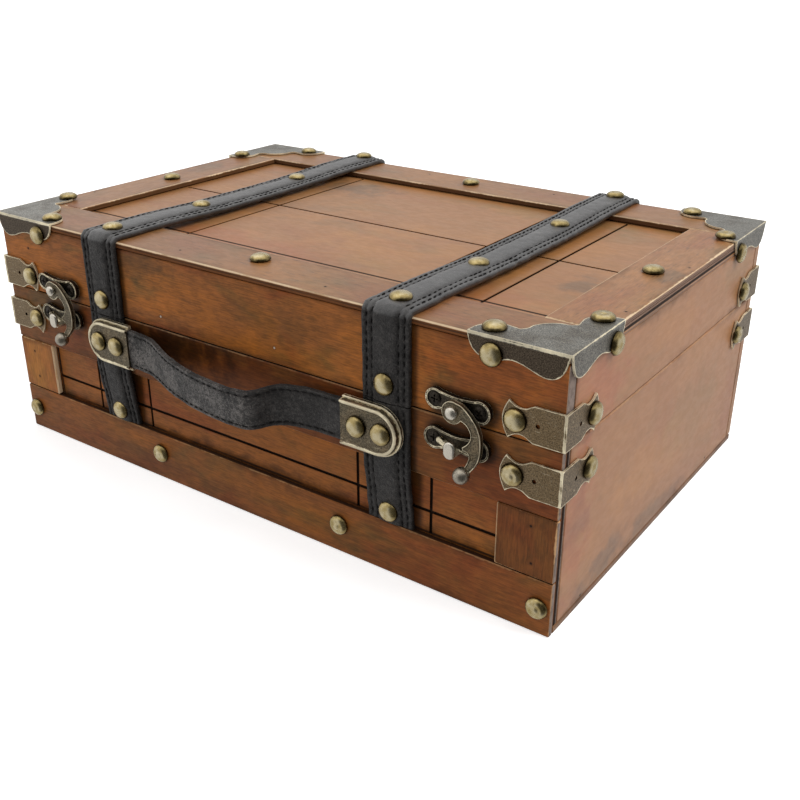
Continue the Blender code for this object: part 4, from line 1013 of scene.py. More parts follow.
def board_material(name, wood):
    """The finish of one board: grain, stains, drawn lines, brads, worn edges and a bare inside."""
    setting, shade, axis, contrast, flecks, rubbed = BOARDS[name]
    low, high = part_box(name)
    material, nodes, shader, place = new_material(name + "_stain")
    parts = nodes.split(place)
    turned_place = nodes.add("ShaderNodeMapping", {"Vector": place, "Location": grain_offset(name),
                                                   "Rotation": GRAIN_TURNS[axis]}).outputs[0]
    tone = Vector(getattr(wood, setting)) * shade
    grain = nodes.group("Stained grain", Vector=turned_place, Tone=tone, Contrast=contrast,
                        Flecks=flecks)
    edges = nodes.group("Board edges", Vector=place, Low=low, High=high, Width=wood.wear_width,
                        Amount=rubbed)
    smudges = nodes.noise(place, 34.0, 4.0, 0.62)
    colour = add_stains_and_shadows(nodes, place, grain["Color"], STAINS_AND_SHADOWS.get(name, ()))
    colour = add_painted_shadows(nodes, parts, colour, PAINTED_SHADOWS.get(name, ()))
    border = nodes.times(edges["Border"], nodes.fade(smudges, 0.44, 0.66, 0.05, 0.65))
    look = Layers(nodes, colour, nodes.times(border, 0.5))
    look.lay(border, nodes.tint(tone, (0.30, 0.34, 0.42)), False)
    wear = nodes.times(edges["Wear"], nodes.fade(parts[2], 0.5 * MM, 1.5 * MM, 0.0, 0.9))
    flank = 0.0
    if name.startswith("top_"):
        flank, wall, kept = strip_flanks(nodes, parts, name, wood, grain, smudges)
        look.lay(flank, wall)
        wear = nodes.times(wear, kept)
    if name in STILE_WEAR:
        edge = min(abs(low.x), abs(high.x))
        inner = nodes.fade(nodes.math("ABSOLUTE", parts[0]), edge + 0.85 * MM, edge + 0.5 * MM,
                           0.0, STILE_WEAR[name])
        look.lay(inner, wood.worn_colour, False)
    if name in ("front_bottom_rail", "front_top_rail"):
        ledge = rail_ledge(nodes, parts, high.z)
        look.lay(ledge, wood.wax_and_shade_colour)
        wear = nodes.times(wear, nodes.minus(1.0, ledge, True))
    if low.y < FRONT_Y + 0.1 * MM or name == "front_panel":
        look.lay(*cut_ends(nodes, parts, wood, grain))
    for drawn_axis, at, half_width, strength, dark in LINES.get(name, ()):
        mask = line_mask(nodes, parts[AXES[drawn_axis]], at, half_width)
        broken = nodes.fade(smudges, 0.36, 0.54, strength * 0.35, strength)
        share = nodes.times(nodes.times(mask, broken), nodes.minus(1.0, flank, True))
        look.lay(share, wood.wax_and_shade_colour if dark else wood.worn_colour, dark)
    rubbed_tone = wood.rubbed_colour if setting == "front_colour" else wood.worn_colour
    look.lay(wear, rubbed_tone, False)
    for x, y, z, pale in BRADS.get(name, ()):
        away = nodes.measure("DISTANCE", place, Vector((x, y, z)) * MM)
        ring = nodes.fade(away, 1.3 * MM, 0.5 * MM, 0.0, 0.55)
        look.lay(ring, nodes.tint(tone, (0.35, 0.35, 0.38)), False)
        hole = nodes.fade(away, 0.60 * MM, 0.36 * MM)
        look.lay(hole, BRAD_PALE if pale else wood.wax_and_shade_colour)
    if name in ("lid_top_panel", "front_panel"):
        groove = groove_mask(nodes, parts, name)
        if name == "lid_top_panel":
            drawn = line_mask(nodes, parts[1], STRIP_SEAM + 8.5 * MM, 0.68 * MM)
            groove = nodes.larger(groove, drawn)
        look.lay(groove, wood.wax_and_shade_colour)
    bare = nodes.group("Stained grain", Vector=turned_place, Tone=wood.inside_colour, Contrast=0.35,
                       Flecks=0.2)["Color"]
    look.lay(inside_mask(nodes, place), bare)
    finish_surface(nodes, shader, look, grain, setting)
    return material


# The metals: the colours of the plain and of the stained parts, how light the plain colour is, and
# how far in from an edge the metal is rubbed
METALS = {
    "folded_bronze": ("folded_colour", "shaded_flange_colour", 1.0, 0.36 * MM),
    "brace_bronze": ("brace_colour", "folded_stain", 1.0, 0.28 * MM),
    "plate_bronze": ("cast_colour", "folded_stain", 1.25, 0.42 * MM),
    "cast_bronze": ("cast_colour", "cast_stain", 1.0, 0.18 * MM),
    "hook_bronze": ("cast_colour", "folded_stain", 1.18, 0.27 * MM),
    "screw_steel": ("cast_stain", "cast_stain", 1.0, 0.05 * MM),
    "hinge_brass_aged": ("nail_colour", "folded_stain", 0.70, 0.05 * MM),
}
# Where the shallow groove along a hook's edge starts and ends
HOOK_GROOVE = (0.85 * MM, 0.40 * MM)


def metal_material(name, plain, stained, light, reach):
    """Bronze or brass with patina, rubbed along its edges."""
    metal = bpy.context.scene.suitcase_metal
    material, nodes, shader, place = new_material(name)
    fields = {key: nodes.field(key) for key in ("rim", "stain_and_shade", "polish")}
    if name == "hinge_brass_aged":
        fields["rim"] = NO_RIM
    aged = nodes.group("Aged metal", Vector=place, Rim=fields["rim"], Stain=fields["stain_and_shade"],
                       Polish=fields["polish"], Patina=Vector(getattr(metal, plain)) * light,
                       Stained=getattr(metal, stained), Bright=metal.worn_colour,
                       Polished=metal.polished_colour, Reach=reach)
    nodes.link(aged["Color"], shader.inputs["Base Color"])
    nodes.link(aged["Roughness"], shader.inputs["Roughness"])
    nodes.link(aged["Metallic"], shader.inputs["Metallic"])
    height = nodes.times(aged["Height"], 0.06)
    if name == "hook_bronze":
        height = nodes.plus(height, nodes.fade(fields["rim"], *HOOK_GROOVE, 0.0, 0.5))
    add_bump(nodes, shader, height, 1.0 * MM, 0.6)
    return material


def nail_material(name):
    """Aged brass: dark round the rim of each dome, rubbed on its crown."""
    metal = bpy.context.scene.suitcase_metal
    material, nodes, shader, place = new_material(name)
    crown = nodes.field("crown")
    speckle = nodes.noise(place, 1500.0, 3.0, 0.7)
    patches = nodes.noise(place, 330.0, 3.0, 0.6)
    dark = nodes.tint(metal.nail_colour, (0.22, 0.21, 0.19))
    light = nodes.mix(0.5, metal.nail_colour, (0.82, 0.75, 0.56))
    worn = nodes.plus(crown, nodes.fade(patches, 0.3, 0.7, -0.22, 0.22))
    colour = nodes.mix(nodes.fade(worn, 0.15, 0.78), dark, metal.nail_colour)
    colour = nodes.mix(nodes.fade(worn, 0.65, 1.10, 0.0, 0.8), colour, light)
    colour = nodes.mix(nodes.fade(speckle, 0.60, 0.72, 0.0, 0.35), colour, dark)
    nodes.link(colour, shader.inputs["Base Color"])
    nodes.link(nodes.fade(speckle, 0.3, 0.7, 0.19, 0.30), shader.inputs["Roughness"])
    shader.inputs["Metallic"].default_value = 1.0
    add_bump(nodes, shader, nodes.plus(speckle, nodes.times(patches, 2.0)), 0.035 * MM, 0.8)
    return material


def leather_material(name, tone, amount, coat, shade_start=None):
    """Leather that is scuffed all over, or less past a point to the right: painted shade."""
    leather = bpy.context.scene.suitcase_leather
    material, nodes, shader, place = new_material(name)
    seam = nodes.field("seam")
    if shade_start is not None:
        along = nodes.split(place)[0]
        amount = nodes.fade(along, shade_start, shade_start + 7 * MM, amount, amount * 0.22)
    hide = nodes.group("Grained leather", Vector=place, Seam=seam, Tone=tone,
                       Scuffed=leather.scuffed_colour, Amount=amount)
    nodes.link(hide["Color"], shader.inputs["Base Color"])
    nodes.link(hide["Roughness"], shader.inputs["Roughness"])
    shader.inputs["Specular IOR Level"].default_value = 0.36
    height = nodes.split(place)[2]
    nodes.link(nodes.fade(height, CASE_TOP - 1 * MM, CASE_TOP + 0.5 * MM, 0.0, coat),
               shader.inputs["Coat Weight"])
    shader.inputs["Coat Roughness"].default_value = 0.38
    add_bump(nodes, shader, hide["Height"], 0.34 * MM, 0.8)
    return material


def thread_material(leather):
    material, nodes, shader, place = new_material("waxed_thread")
    twist = nodes.noise(place, 2600.0, 2.0, 0.5)
    dark = nodes.tint(leather.thread_colour, (0.4, 0.4, 0.4))
    nodes.link(nodes.mix(nodes.fade(twist, 0.4, 0.6), dark, leather.thread_colour),
               shader.inputs["Base Color"])
    shader.inputs["Roughness"].default_value = 0.7
    shader.inputs["Specular IOR Level"].default_value = 0.25
    add_bump(nodes, shader, twist, 0.08 * MM)
    return material


# Nails and screws

# Under a nail's dome: shares of its radius, and heights
NAIL_FOOT = ((0.90, -GAP), (0.93, 0.10 * MM), (1.0, 0.32 * MM), (0.995, 0.50 * MM))
NAIL_STEPS = 9
NAIL_FLATNESS = 0.92
DOME_SHARE = 0.985
# A hammered ring: its depth, and its middle and width as shares of the nail's radius
RING_DEPTH = 0.36 * MM
RING_MIDDLE_SHARE, RING_WIDTH_SHARE = 0.38, 0.15


def nail_pattern(metal, ringed):
    """A domed nail head that stands on the plane z = 0."""
    radius, base = metal.nail_radius, NAIL_FOOT[-1][1]
    profile = [(radius * share, rise) for share, rise in NAIL_FOOT]
    for k in range(1, NAIL_STEPS + 1):
        turn = math.pi / 2 * k / (NAIL_STEPS + 0.5)
        share = math.cos(turn) ** NAIL_FLATNESS
        rise = base + (metal.nail_height - base) * math.sin(turn)
        if ringed:
            rise -= RING_DEPTH * math.exp(-((share - RING_MIDDLE_SHARE) / RING_WIDTH_SHARE) ** 2)
        profile.append((radius * share * DOME_SHARE, rise))
    return turned(profile)


def add_nails(name, places, body, replaced=(), ringed=()):
    """Domed nails at several places. The ringed ones have a hammered ring round their middle."""
    metal = bpy.context.scene.suitcase_metal
    groups = []
    for is_ringed in (False, True):
        chosen = [place for index, place in enumerate(places) if (index in ringed) == is_ringed]
        if chosen:
            pattern = nail_pattern(metal, is_ringed)
            set_field(pattern, "crown", lambda spot: max(spot.z, 0) / metal.nail_height)
            groups.append(copies(pattern, chosen, name))
    nails = join(groups, name)
    return dress(nails, "nail_brass_aged", body, replaced, 60.0)


SCREW_RADIUS = 2.3 * MM
SCREW_HEIGHT = 0.55 * MM
SCREW_SIDES = 24
SCREW_SHARES = ((1.0, -1.0), (1.0, 0.4), (0.86, 0.8), (0.5, 1.05))
# A screw's recess: half its length and half its width as shares of the radius
RECESS_SHARES = (0.68, 0.14)


def screw_pattern():
    """A low screw head with a cross recess."""
    head = turned([(SCREW_RADIUS * across, SCREW_HEIGHT * rise) for across, rise in SCREW_SHARES],
                  SCREW_SIDES)
    reach, half = (SCREW_RADIUS * share for share in RECESS_SHARES)
    for x, y in ((reach, half), (half, reach)):
        carve(head, block((-x, -y, -SCREW_HEIGHT * 0.3), (x, y, SCREW_HEIGHT * 3)))
    set_field(head, "stain_and_shade", lambda spot: 1.0)
    set_field(head, "rim", lambda spot: NO_RIM)
    return head


# Straps

# Upper side of a strap: share of half the width, share of the thickness, and how much it belongs
# to a seam. Two stitched channels lie on each side of the padded middle.
STRAP_TOP_SHARES = (
    # The first two points lie on the strap's side, and count as seam so that it comes out dark.
    (1.0, 0.20, 1.0), (1.0, 0.48, 0.9), (0.985, 0.62, 0.4), (0.955, 0.71, 0.0), (0.91, 0.745, 0.1),
    (0.86, 0.73, 0.4), (0.82, 0.67, 0.8), (0.79, 0.63, 1.0), (0.76, 0.67, 0.8), (0.71, 0.75, 0.35),
    (0.665, 0.78, 0.2), (0.62, 0.76, 0.4), (0.58, 0.70, 0.8), (0.55, 0.67, 1.0), (0.52, 0.73, 0.6),
    (0.475, 0.86, 0.15), (0.40, 0.96, 0.0), (0.31, 1.01, 0.0), (0.20, 1.035, 0.0),
    (0.10, 1.045, 0.0), (0.0, 1.05, 0.0),
)
STITCH_ROW_SHARES = (0.79, 0.55)
# Half the width of a strap's underside, and how high its stitches lie
STRAP_FOOT_SHARE = 0.96
STITCH_LEVEL_SHARE = 0.72
STRAP_STEP = 1.3 * MM
# How far a strap strays from its line, and how much its width changes
STRAP_STRAY = 0.25 * MM
STRAP_SWELL_SHARE = 0.018
# A stitch: width and thickness of its thread, and how far it strays, turns and stretches
THREAD_WIDTH, THREAD_THICK = 0.62 * MM, 0.7 * MM
STITCH_STRAY = 0.26 * MM
STITCH_TURN = 0.40
STITCH_STRETCH_SHARE, PITCH_STRETCH_SHARE = 0.45, 0.25
# How deep a strap puckers, and how far and how deep a nail presses into it
STRAP_PUCKER = 0.15 * MM
DIMPLE_RADIUS, DIMPLE_DEPTH = 6.6 * MM, 0.6 * MM
NAIL_SINK = 0.35 * MM


def strap_section(width, thick, shares):
    """A strap's closed section, and how much each of its points belongs to a seam."""
    right = [(STRAP_FOOT_SHARE * width / 2, 0.0, 0.0)]
    right += [(a * width / 2, b * thick, seam) for a, b, seam in shares]
    left = [(-a, b, seam) for a, b, seam in reversed(right[:-1])]
    run = right + left
    return [(a, b) for a, b, _ in run], [seam for _, _, seam in run]


def rounded_path(corners, steps=6):
    """A line in a plane with its corners rounded: (point, radius) pairs."""
    path = [Vector(corners[0][0])]
    for (before, _), (corner, radius), (after, _) in zip(corners, corners[1:], corners[2:]):
        before, corner, after = Vector(before), Vector(corner), Vector(after)
        incoming = (corner - before).normalized()
        outgoing = (after - corner).normalized()
        bend = incoming.angle(outgoing)
        side = 1 if incoming.x * outgoing.y - incoming.y * outgoing.x > 0 else -1
        start = corner - incoming * radius * math.tan(bend / 2)
        centre = start + Vector((-incoming.y, incoming.x)) * side * radius
        for k in range(steps + 1):
            path.append(centre + Matrix.Rotation(side * bend * k / steps, 2) @ (start - centre))
    path.append(Vector(corners[-1][0]))
    return path


def even_points(path, step):
    """Points along a path, about one step apart, with its ends kept."""
    lengths = [0.0]
    for a, b in zip(path, path[1:]):
        lengths.append(lengths[-1] + (b - a).length)
    count = max(int(lengths[-1] / step), 2)
    points = []
    segment = 0
    for k in range(count + 1):
        target = lengths[-1] * k / count
        while segment < len(lengths) - 2 and lengths[segment + 1] < target:
            segment += 1
        span = lengths[segment + 1] - lengths[segment]
        share = (target - lengths[segment]) / span if span else 0
        points.append(path[segment].lerp(path[segment + 1], share))
    return points


def strap_stations(path, centre, outward):
    """Places along a strap, with its directions and its width, which wander a little."""
    stations = []
    points = even_points(path, STRAP_STEP)
    for index, point in enumerate(points):
        run = (points[min(index + 1, len(points) - 1)] - points[max(index - 1, 0)]).normalized()
        up = Vector((0, -run.y * outward, run.x * outward))
        wander = noise.noise(Vector((centre * 90, index * 0.11, 4.0))) * STRAP_STRAY
        width = 1.0 + STRAP_SWELL_SHARE * noise.noise(Vector((centre * 50, index * 0.21, 9.0)))
        stations.append((Vector((centre + wander, point.x, point.y)), Vector((1, 0, 0)), up, width))
    return stations


def pucker(piece, depth, scale=160.0):
    """Dents a leather piece all over, and more along its seams."""
    seams = piece.data.attributes["seam"].data
    for vert in piece.data.vertices:
        pull = 1.0 + 1.6 * seams[vert.index].value
        fine = noise.noise(vert.co * scale * 2.3 + Vector((7, 3, 5)))
        dent = noise.noise(vert.co * scale) + 0.7 * fine
        vert.co += vert.normal * depth * pull * dent


def dimple(piece, places, radius, depth):
    """Presses the leather in round each nail."""
    for vert in piece.data.vertices:
        for place in places:
            offset = place.inverted() @ vert.co
            reach = math.hypot(offset.x, offset.y)
            if reach < radius and abs(offset.z) < STRAP_THICK:
                share = 0.5 + 0.5 * math.cos(math.pi * reach / radius)
                vert.co -= place.to_3x3() @ Vector((0, 0, depth * share))


def add_stitches(name, stations, rows, width, level, body):
    """Stitches along rows of a strap, each a short thread sunk at its ends."""
    leather = bpy.context.scene.suitcase_leather
    length, pitch = leather.stitch_length, leather.stitch_pitch
    deselect_all()
    bpy.ops.mesh.primitive_uv_sphere_add(segments=8, ring_count=6, radius=0.5)
    thread = bpy.context.object
    thread.scale = (THREAD_WIDTH, length, THREAD_THICK)
    settle(thread, "stitch")
    travelled = [0.0]
    for first, second in zip(stations, stations[1:]):
        travelled.append(travelled[-1] + (second[0] - first[0]).length)
    places = []
    for row in rows:
        target = pitch * (0.6 + 0.2 * row)
        index = 0
        while target < travelled[-1] - length / 2:
            while travelled[index + 1] < target:
                index += 1
            place, across, up, share = stations[index]
            following = stations[index + 1]
            along = (following[0] - place).normalized()
            part = (target - travelled[index]) / (travelled[index + 1] - travelled[index])
            aside = STITCH_STRAY * noise.noise(Vector((row * 31, target * 900, 6.0)))
            aside += row * width / 2 * share
            spot = place.lerp(following[0], part) + across * aside + up * level
            turn = Matrix((across, along, up)).transposed().to_4x4()
            lean = STITCH_TURN * noise.noise(Vector((row * 9, target * 400, 2.0)))
            longer = STITCH_STRETCH_SHARE * noise.noise(Vector((row * 17, target * 700, 8.0)))
            own = Matrix.Rotation(lean, 4, "Z") @ Matrix.Diagonal((1, 1.0 + longer, 1, 1))
            places.append(Matrix.Translation(spot) @ turn @ own)
            wait = PITCH_STRETCH_SHARE * noise.noise(Vector((row * 5, target * 500, 1.0)))
            target += pitch * (1.0 + wait)
    threads = copies(thread, places, name)
    return dress(threads, "waxed_thread", body, (), 60.0)


# How far the lid's straps sag where they cross the sunk panel, how far inside the top frame the sag
# starts, and the share of the way to the middle over which it falls
STRAP_SAG = 1.3 * MM
SAG_START = 0.8 * MM
SAG_SHARE = 0.62
# The bend of a strap over an edge of the lid, and its free end at the back
STRAP_BEND = 1.4 * MM
STRAP_END = 3.2 * MM
# Where the body's straps start and end their slope down to the front panel, and the bends there
STRAP_SLOPE = (TOP_RAIL_LOW - 1.0 * MM, BOTTOM_RAIL_TOP + 2.2 * MM)
SLOPE_BENDS = (50 * MM, 30 * MM)
# Heights of the straps' nails above the foot of the lid, front and back, and above the bottom rail
FRONT_NAIL_RISE, BACK_NAIL_RISE, LOW_NAIL_RISE = 7.2 * MM, 11.8 * MM, 5.6 * MM


def bend_radius(length, drop):
    """The radius of the two equal bends that carry a strap down by a drop over a length."""
    return 0.98 * (length ** 2 + drop ** 2) / (4 * drop)


def lid_strap_path():
    out = -FRONT_Y + GAP
    high = CASE_TOP + GAP
    low = high - STRAP_SAG
    start = STRIP_INNER_Y - SAG_START
    length = STRIP_INNER_Y * SAG_SHARE
    bend = bend_radius(length, high - low)
    end = start - length
    return rounded_path([
        ((-out, LID_BOTTOM), 0), ((-out, high), STRAP_BEND), ((-start, high), bend),
        ((-end, low), bend),
        ((end, low), bend), ((start, high), bend), ((out, high), STRAP_BEND),
        ((out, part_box("lid_right_strap")[0].z + STRAP_END), 0)])


def body_strap_path():
    out = FRONT_Y - GAP
    sunk = PANEL_FRONT - GAP
    return rounded_path([((out, BODY_TOP), 0), ((out, STRAP_SLOPE[0]), SLOPE_BENDS[0]),
                         ((sunk, STRAP_SLOPE[1]), SLOPE_BENDS[1]),
                         ((sunk, BOTTOM_RAIL_TOP + GAP), 0)])


def make_strap(name, path, centre, outward, nails, body, node):
    """A strap along a path, with its stitches and its nails."""
    stations = strap_stations(path, centre, outward)
    section, seams = strap_section(STRAP_WIDTH, STRAP_THICK, STRAP_TOP_SHARES)
    strap = swept(section, stations, name, seams)
    pucker(strap, STRAP_PUCKER)
    dimple(strap, nails, DIMPLE_RADIUS, DIMPLE_DEPTH)
    dress(strap, "strap_leather", body, (node,), 60.0)
    rows = [side * share for share in STITCH_ROW_SHARES for side in (-1, 1)]
    level = STRAP_THICK * STITCH_LEVEL_SHARE
    add_stitches(name + "_stitches", stations, rows, STRAP_WIDTH, level, body)
    sunk = [nail @ Matrix.Translation((0, 0, -NAIL_SINK)) for nail in nails]
    add_nails(name + "_nails", sunk, body)


TOP_NAIL_SHARES = (-0.923, -0.37, 0.35, 0.955)


class SUITCASE_OT_straps(bpy.types.Operator):
    """Leather straps over the lid and down the body, with their stitching and nails"""
    bl_idname = "suitcase.straps"
    bl_label = "Leather Straps"

    def execute(self, context):
        top = CASE_TOP + GAP + STRAP_THICK
        sunk = top - STRAP_SAG
        front = FRONT_Y - GAP - STRAP_THICK
        back = BACK_Y + GAP + STRAP_THICK
        low_nail = BOTTOM_RAIL_TOP + LOW_NAIL_RISE
        for side, sign in SIDES.items():
            x = sign * STRAP_CENTRE
            nails = [face_frame("top", (x, share * BACK_Y, top if abs(share) > 0.5 else sunk))
                     for share in TOP_NAIL_SHARES]
            nails.append(face_frame("front", (x, front, LID_BOTTOM + FRONT_NAIL_RISE)))
            nails.append(face_frame("back", (x, back, LID_BOTTOM + BACK_NAIL_RISE)))
            node = f"lid_{side}_strap"
            make_strap(f"{side}_strap_over_lid", lid_strap_path(), x, 1, nails, "lid", node)
            fall = (STRAP_SLOPE[0] - low_nail) / (STRAP_SLOPE[0] - STRAP_SLOPE[1])
            nail = face_frame("front", (x, front + (PANEL_FRONT - FRONT_Y) * fall, low_nail))
            make_strap(f"{side}_strap_front", body_strap_path(), x, -1, [nail], "case_body",
                       f"body_{side}_strap")
            node = f"back_{side}_strap"
            path = [Vector((BACK_Y + GAP, BOTTOM_RAIL_TOP + GAP)),
                    Vector((BACK_Y + GAP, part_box(node)[1].z))]
            nail = face_frame("back", (x, back, low_nail))
            make_strap(f"{side}_strap_back", path, x, -1, [nail], "case_body", node)
        return {"FINISHED"}


# Corner brackets

BRACKET_REACH = (38.5 * MM, 39.5 * MM)
BRACKET_DROP = 9.2 * MM
BRACKET_SLIT = 0.5 * MM
# How far a piece's sharp edges are rounded, and the size of the cells that keep its wear
BRACKET_WEAR = (0.22 * MM, 1.3 * MM)
# Flange: along the edge from the corner, down the face. The cusp beside the nail is last but two.
FLANGE_LOBE_SHARES = (
    (0.012, 0.30), (0.03, 0.55), (0.08, 0.85), (0.17, 1.0), (0.27, 0.95), (0.37, 0.80),
    (0.46, 0.69),
    (0.545, 0.65), (0.61, 0.70),
)
FLANGE_TIP_SHARES = ((0.61, 0.70), (0.70, 0.82), (0.79, 0.84), (0.885, 0.74), (0.96, 0.45),
                     (1.0, 0.0))
# Top plate: along X and along Y from the corner, in three runs that meet at cusps.
TOP_TIP_SHARES = ((1.0, 0.0), (0.985, 0.12), (0.92, 0.22), (0.81, 0.275), (0.70, 0.265),
                  (0.63, 0.25))
TOP_SCALLOP_SHARES = ((0.63, 0.25), (0.585, 0.31), (0.575, 0.39), (0.53, 0.475))
# How dark the end flanges are beside the front and back ones, whose patina is partly painted shade
END_FLANGE_SHADE_SHARE = 0.3
FLANGE_MARGIN = 0.1 * MM
BRACKET_NAIL_SHARES = {"top_x": (0.826, 0.145), "top_y": (0.145, 0.894), "front": 0.745,
                       "side": 0.83,
                       "drop": 0.62}


def bracket_top_outline():
    """The scalloped edge of a bracket's top plate, from one arm's tip to the other's."""
    tip = smooth_run(TOP_TIP_SHARES) + smooth_run(TOP_SCALLOP_SHARES)[1:]
    mirror = [Vector((b, a)) for a, b in reversed(tip)]
    return tip + mirror[1:]


def corner_faces(side_x, side_y):
    """The two upright faces at a corner, and which way each runs away from it."""
    front = "front" if side_y < 0 else "back"
    side = "right" if side_x > 0 else "left"
    return (front, -side_x if side_y < 0 else side_x), (side, 1 if side_x * side_y < 0 else -1)


def add_bracket(name, side_x, side_y):
    """A bracket folded over a corner of the lid. Gives the piece and its corner."""
    lap = GAP + SHEET_THICK
    corner = Vector((side_x * HALF_LENGTH, side_y * BACK_Y, CASE_TOP))
    points = [Vector((-lap, -lap)), Vector((BRACKET_REACH[0], -lap))]
    points += [Vector((u * BRACKET_REACH[0], v * BRACKET_REACH[1]))
               for u, v in bracket_top_outline()]
    points.append(Vector((-lap, BRACKET_REACH[1])))
    points = [(-side_x * point.x, -side_y * point.y) for point in points]
    if side_x * side_y < 0:
        points.reverse()
    bracket = plate(points, GAP, lap)
    bracket.matrix_world = face_frame("top", corner)
    settle(bracket, name)
    for (face, turn), reach in zip(corner_faces(side_x, side_y), BRACKET_REACH):
        run = smooth_run(FLANGE_LOBE_SHARES) + smooth_run(FLANGE_TIP_SHARES)[1:]
        flange = [Vector((BRACKET_SLIT - lap, lap))]
        flange += [Vector((u * reach, -v * BRACKET_DROP)) for u, v in run]
        flange.append(Vector((reach, lap)))
        piece = plate([(turn * point.x, point.y) for point in flange], GAP, lap)
        piece.matrix_world = face_frame(face, corner)
        unite(bracket, settle(piece, "flange"))
    age_rims(bracket, *BRACKET_WEAR)
    # The flanges are darkened, those on the front and back most: patina, partly painted shade.
    set_field(bracket, "stain_and_shade", lambda spot: (spot.z < CASE_TOP + GAP - FLANGE_MARGIN)
              * (END_FLANGE_SHADE_SHARE if abs(spot.x) > HALF_LENGTH else 1.0))
    return bracket, corner


def bracket_nails(corner, side_x, side_y):
    """Where a bracket's nails stand: two on top and one on each flange."""
    lap = GAP + SHEET_THICK
    shares = BRACKET_NAIL_SHARES
    reach_x, reach_y = BRACKET_REACH
    places = []
    for key in ("top_x", "top_y"):
        u, v = shares[key]
        spot = corner + Vector((-side_x * u * reach_x, -side_y * v * reach_y, lap))
        places.append(face_frame("top", spot))
    drop = -shares["drop"] * BRACKET_DROP
    (front, _), (side, _) = corner_faces(side_x, side_y)
    spot = corner + Vector((-side_x * shares["front"] * reach_x, side_y * lap, drop))
    places.append(face_frame(front, spot))
    spot = corner + Vector((side_x * lap, -side_y * shares["side"] * reach_y, drop))
    places.append(face_frame(side, spot))
    return places


class SUITCASE_OT_brackets(bpy.types.Operator):
    """Folded corner brackets on the lid, with their nails"""
    bl_idname = "suitcase.brackets"
    bl_label = "Corner Brackets"

    def execute(self, context):
        for across, side_x in SIDES.items():
            for depth, side_y in DEPTHS.items():
                node = f"bracket_{depth}_{across}"
                name = f"{depth}_{across}_corner_bracket"
                bracket, corner = add_bracket(name, side_x, side_y)
                dress(bracket, "folded_bronze", "lid", (node,), 40.0)
                add_nails(name + "_nails", bracket_nails(corner, side_x, side_y), "lid", (), (1, 3))
        return {"FINISHED"}


# Corner braces

BRACE_LENGTH = 23.4 * MM
BRACE_HEIGHT = 14.0 * MM
BRACE_NAIL_REACH = 18.3 * MM
BRACE_SIDE_NAIL_REACH = 19.7 * MM
BRACE_HOLE_REACH = 9.6 * MM
BRACE_HOLE_RADIUS = 0.85 * MM
BRACE_WEAR = (0.2 * MM, 1.2 * MM)
# One half of a brace leg: along the leg, across its half height, in runs that meet at points.
BRACE_NOTCH_SHARES = ((0.48, 1.0), (0.545, 0.88), (0.61, 0.76), (0.70, 0.71), (0.775, 0.76),
                      (0.84, 0.88), (0.895, 1.03))
BRACE_END_SHARES = ((0.895, 1.03), (0.945, 0.72), (0.985, 0.36), (1.0, 0.0), (0.985, -0.36),
                    (0.945, -0.72), (0.895, -1.03))


def brace_outline(turn, low):
    """One leg of a brace, from the corner to its pointed end."""
    upper = smooth_run(BRACE_NOTCH_SHARES, 5)
    lower = [Vector((u, -v)) for u, v in reversed(upper)]
    run = upper + smooth_run(BRACE_END_SHARES, 3)[1:-1] + lower
    points = [Vector((-low, BRACE_HEIGHT / 2))]
    points += [Vector((u * BRACE_LENGTH, v * BRACE_HEIGHT / 2)) for u, v in run]
    points.append(Vector((-low, -BRACE_HEIGHT / 2)))
    return [(turn * point.x, point.y) for point in points]


def add_brace(name, side_x, side_y, middle_z):
    """A brace folded round an upright corner. Gives the piece and the places of its nails."""
    lap = GAP + SHEET_THICK
    corner = Vector((side_x * HALF_LENGTH, side_y * BACK_Y, middle_z))
    legs, holes = [], []
    for face, turn in corner_faces(side_x, side_y):
        leg = plate(brace_outline(turn, lap), GAP, lap)
        hole = turned([(BRACE_HOLE_RADIUS, -lap), (BRACE_HOLE_RADIUS, lap * 2)], 20)
        hole.location = (turn * BRACE_HOLE_REACH, 0, 0)
        carve(leg, settle(hole, "hole"))
        leg.matrix_world = face_frame(face, corner)
        holes.append(leg.matrix_world @ Vector((turn * BRACE_HOLE_REACH, 0, lap)))
        legs.append(settle(leg, name))
    brace = unite(*legs)
    age_rims(brace, *BRACE_WEAR, skip=holes)
    (front, _), (side, _) = corner_faces(side_x, side_y)
    nails = [face_frame(front, corner + Vector((-side_x * BRACE_NAIL_REACH, side_y * lap, 0))),
             face_frame(side, corner + Vector((side_x * lap, -side_y * BRACE_SIDE_NAIL_REACH, 0)))]
    return brace, nails


class SUITCASE_OT_braces(bpy.types.Operator):
    """Folded braces round the upright corners, with their nails"""
    bl_idname = "suitcase.braces"
    bl_label = "Corner Braces"

    def execute(self, context):
        for across, side_x in SIDES.items():
            for depth, side_y in DEPTHS.items():
                for part, body in (("lid", "lid"), ("body", "case_body")):
                    node = f"{part}_brace_{depth}_{across}"
                    low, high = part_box(node)
                    name = f"{depth}_{across}_{part}_corner_brace"
                    brace, nails = add_brace(name, side_x, side_y, (low.z + high.z) / 2)
                    dress(brace, "brace_bronze", body, (node,), 40.0)
                    add_nails(name + "_nails", nails, body, (), (0, 1) if part == "body" else ())
        return {"FINISHED"}


# Handle

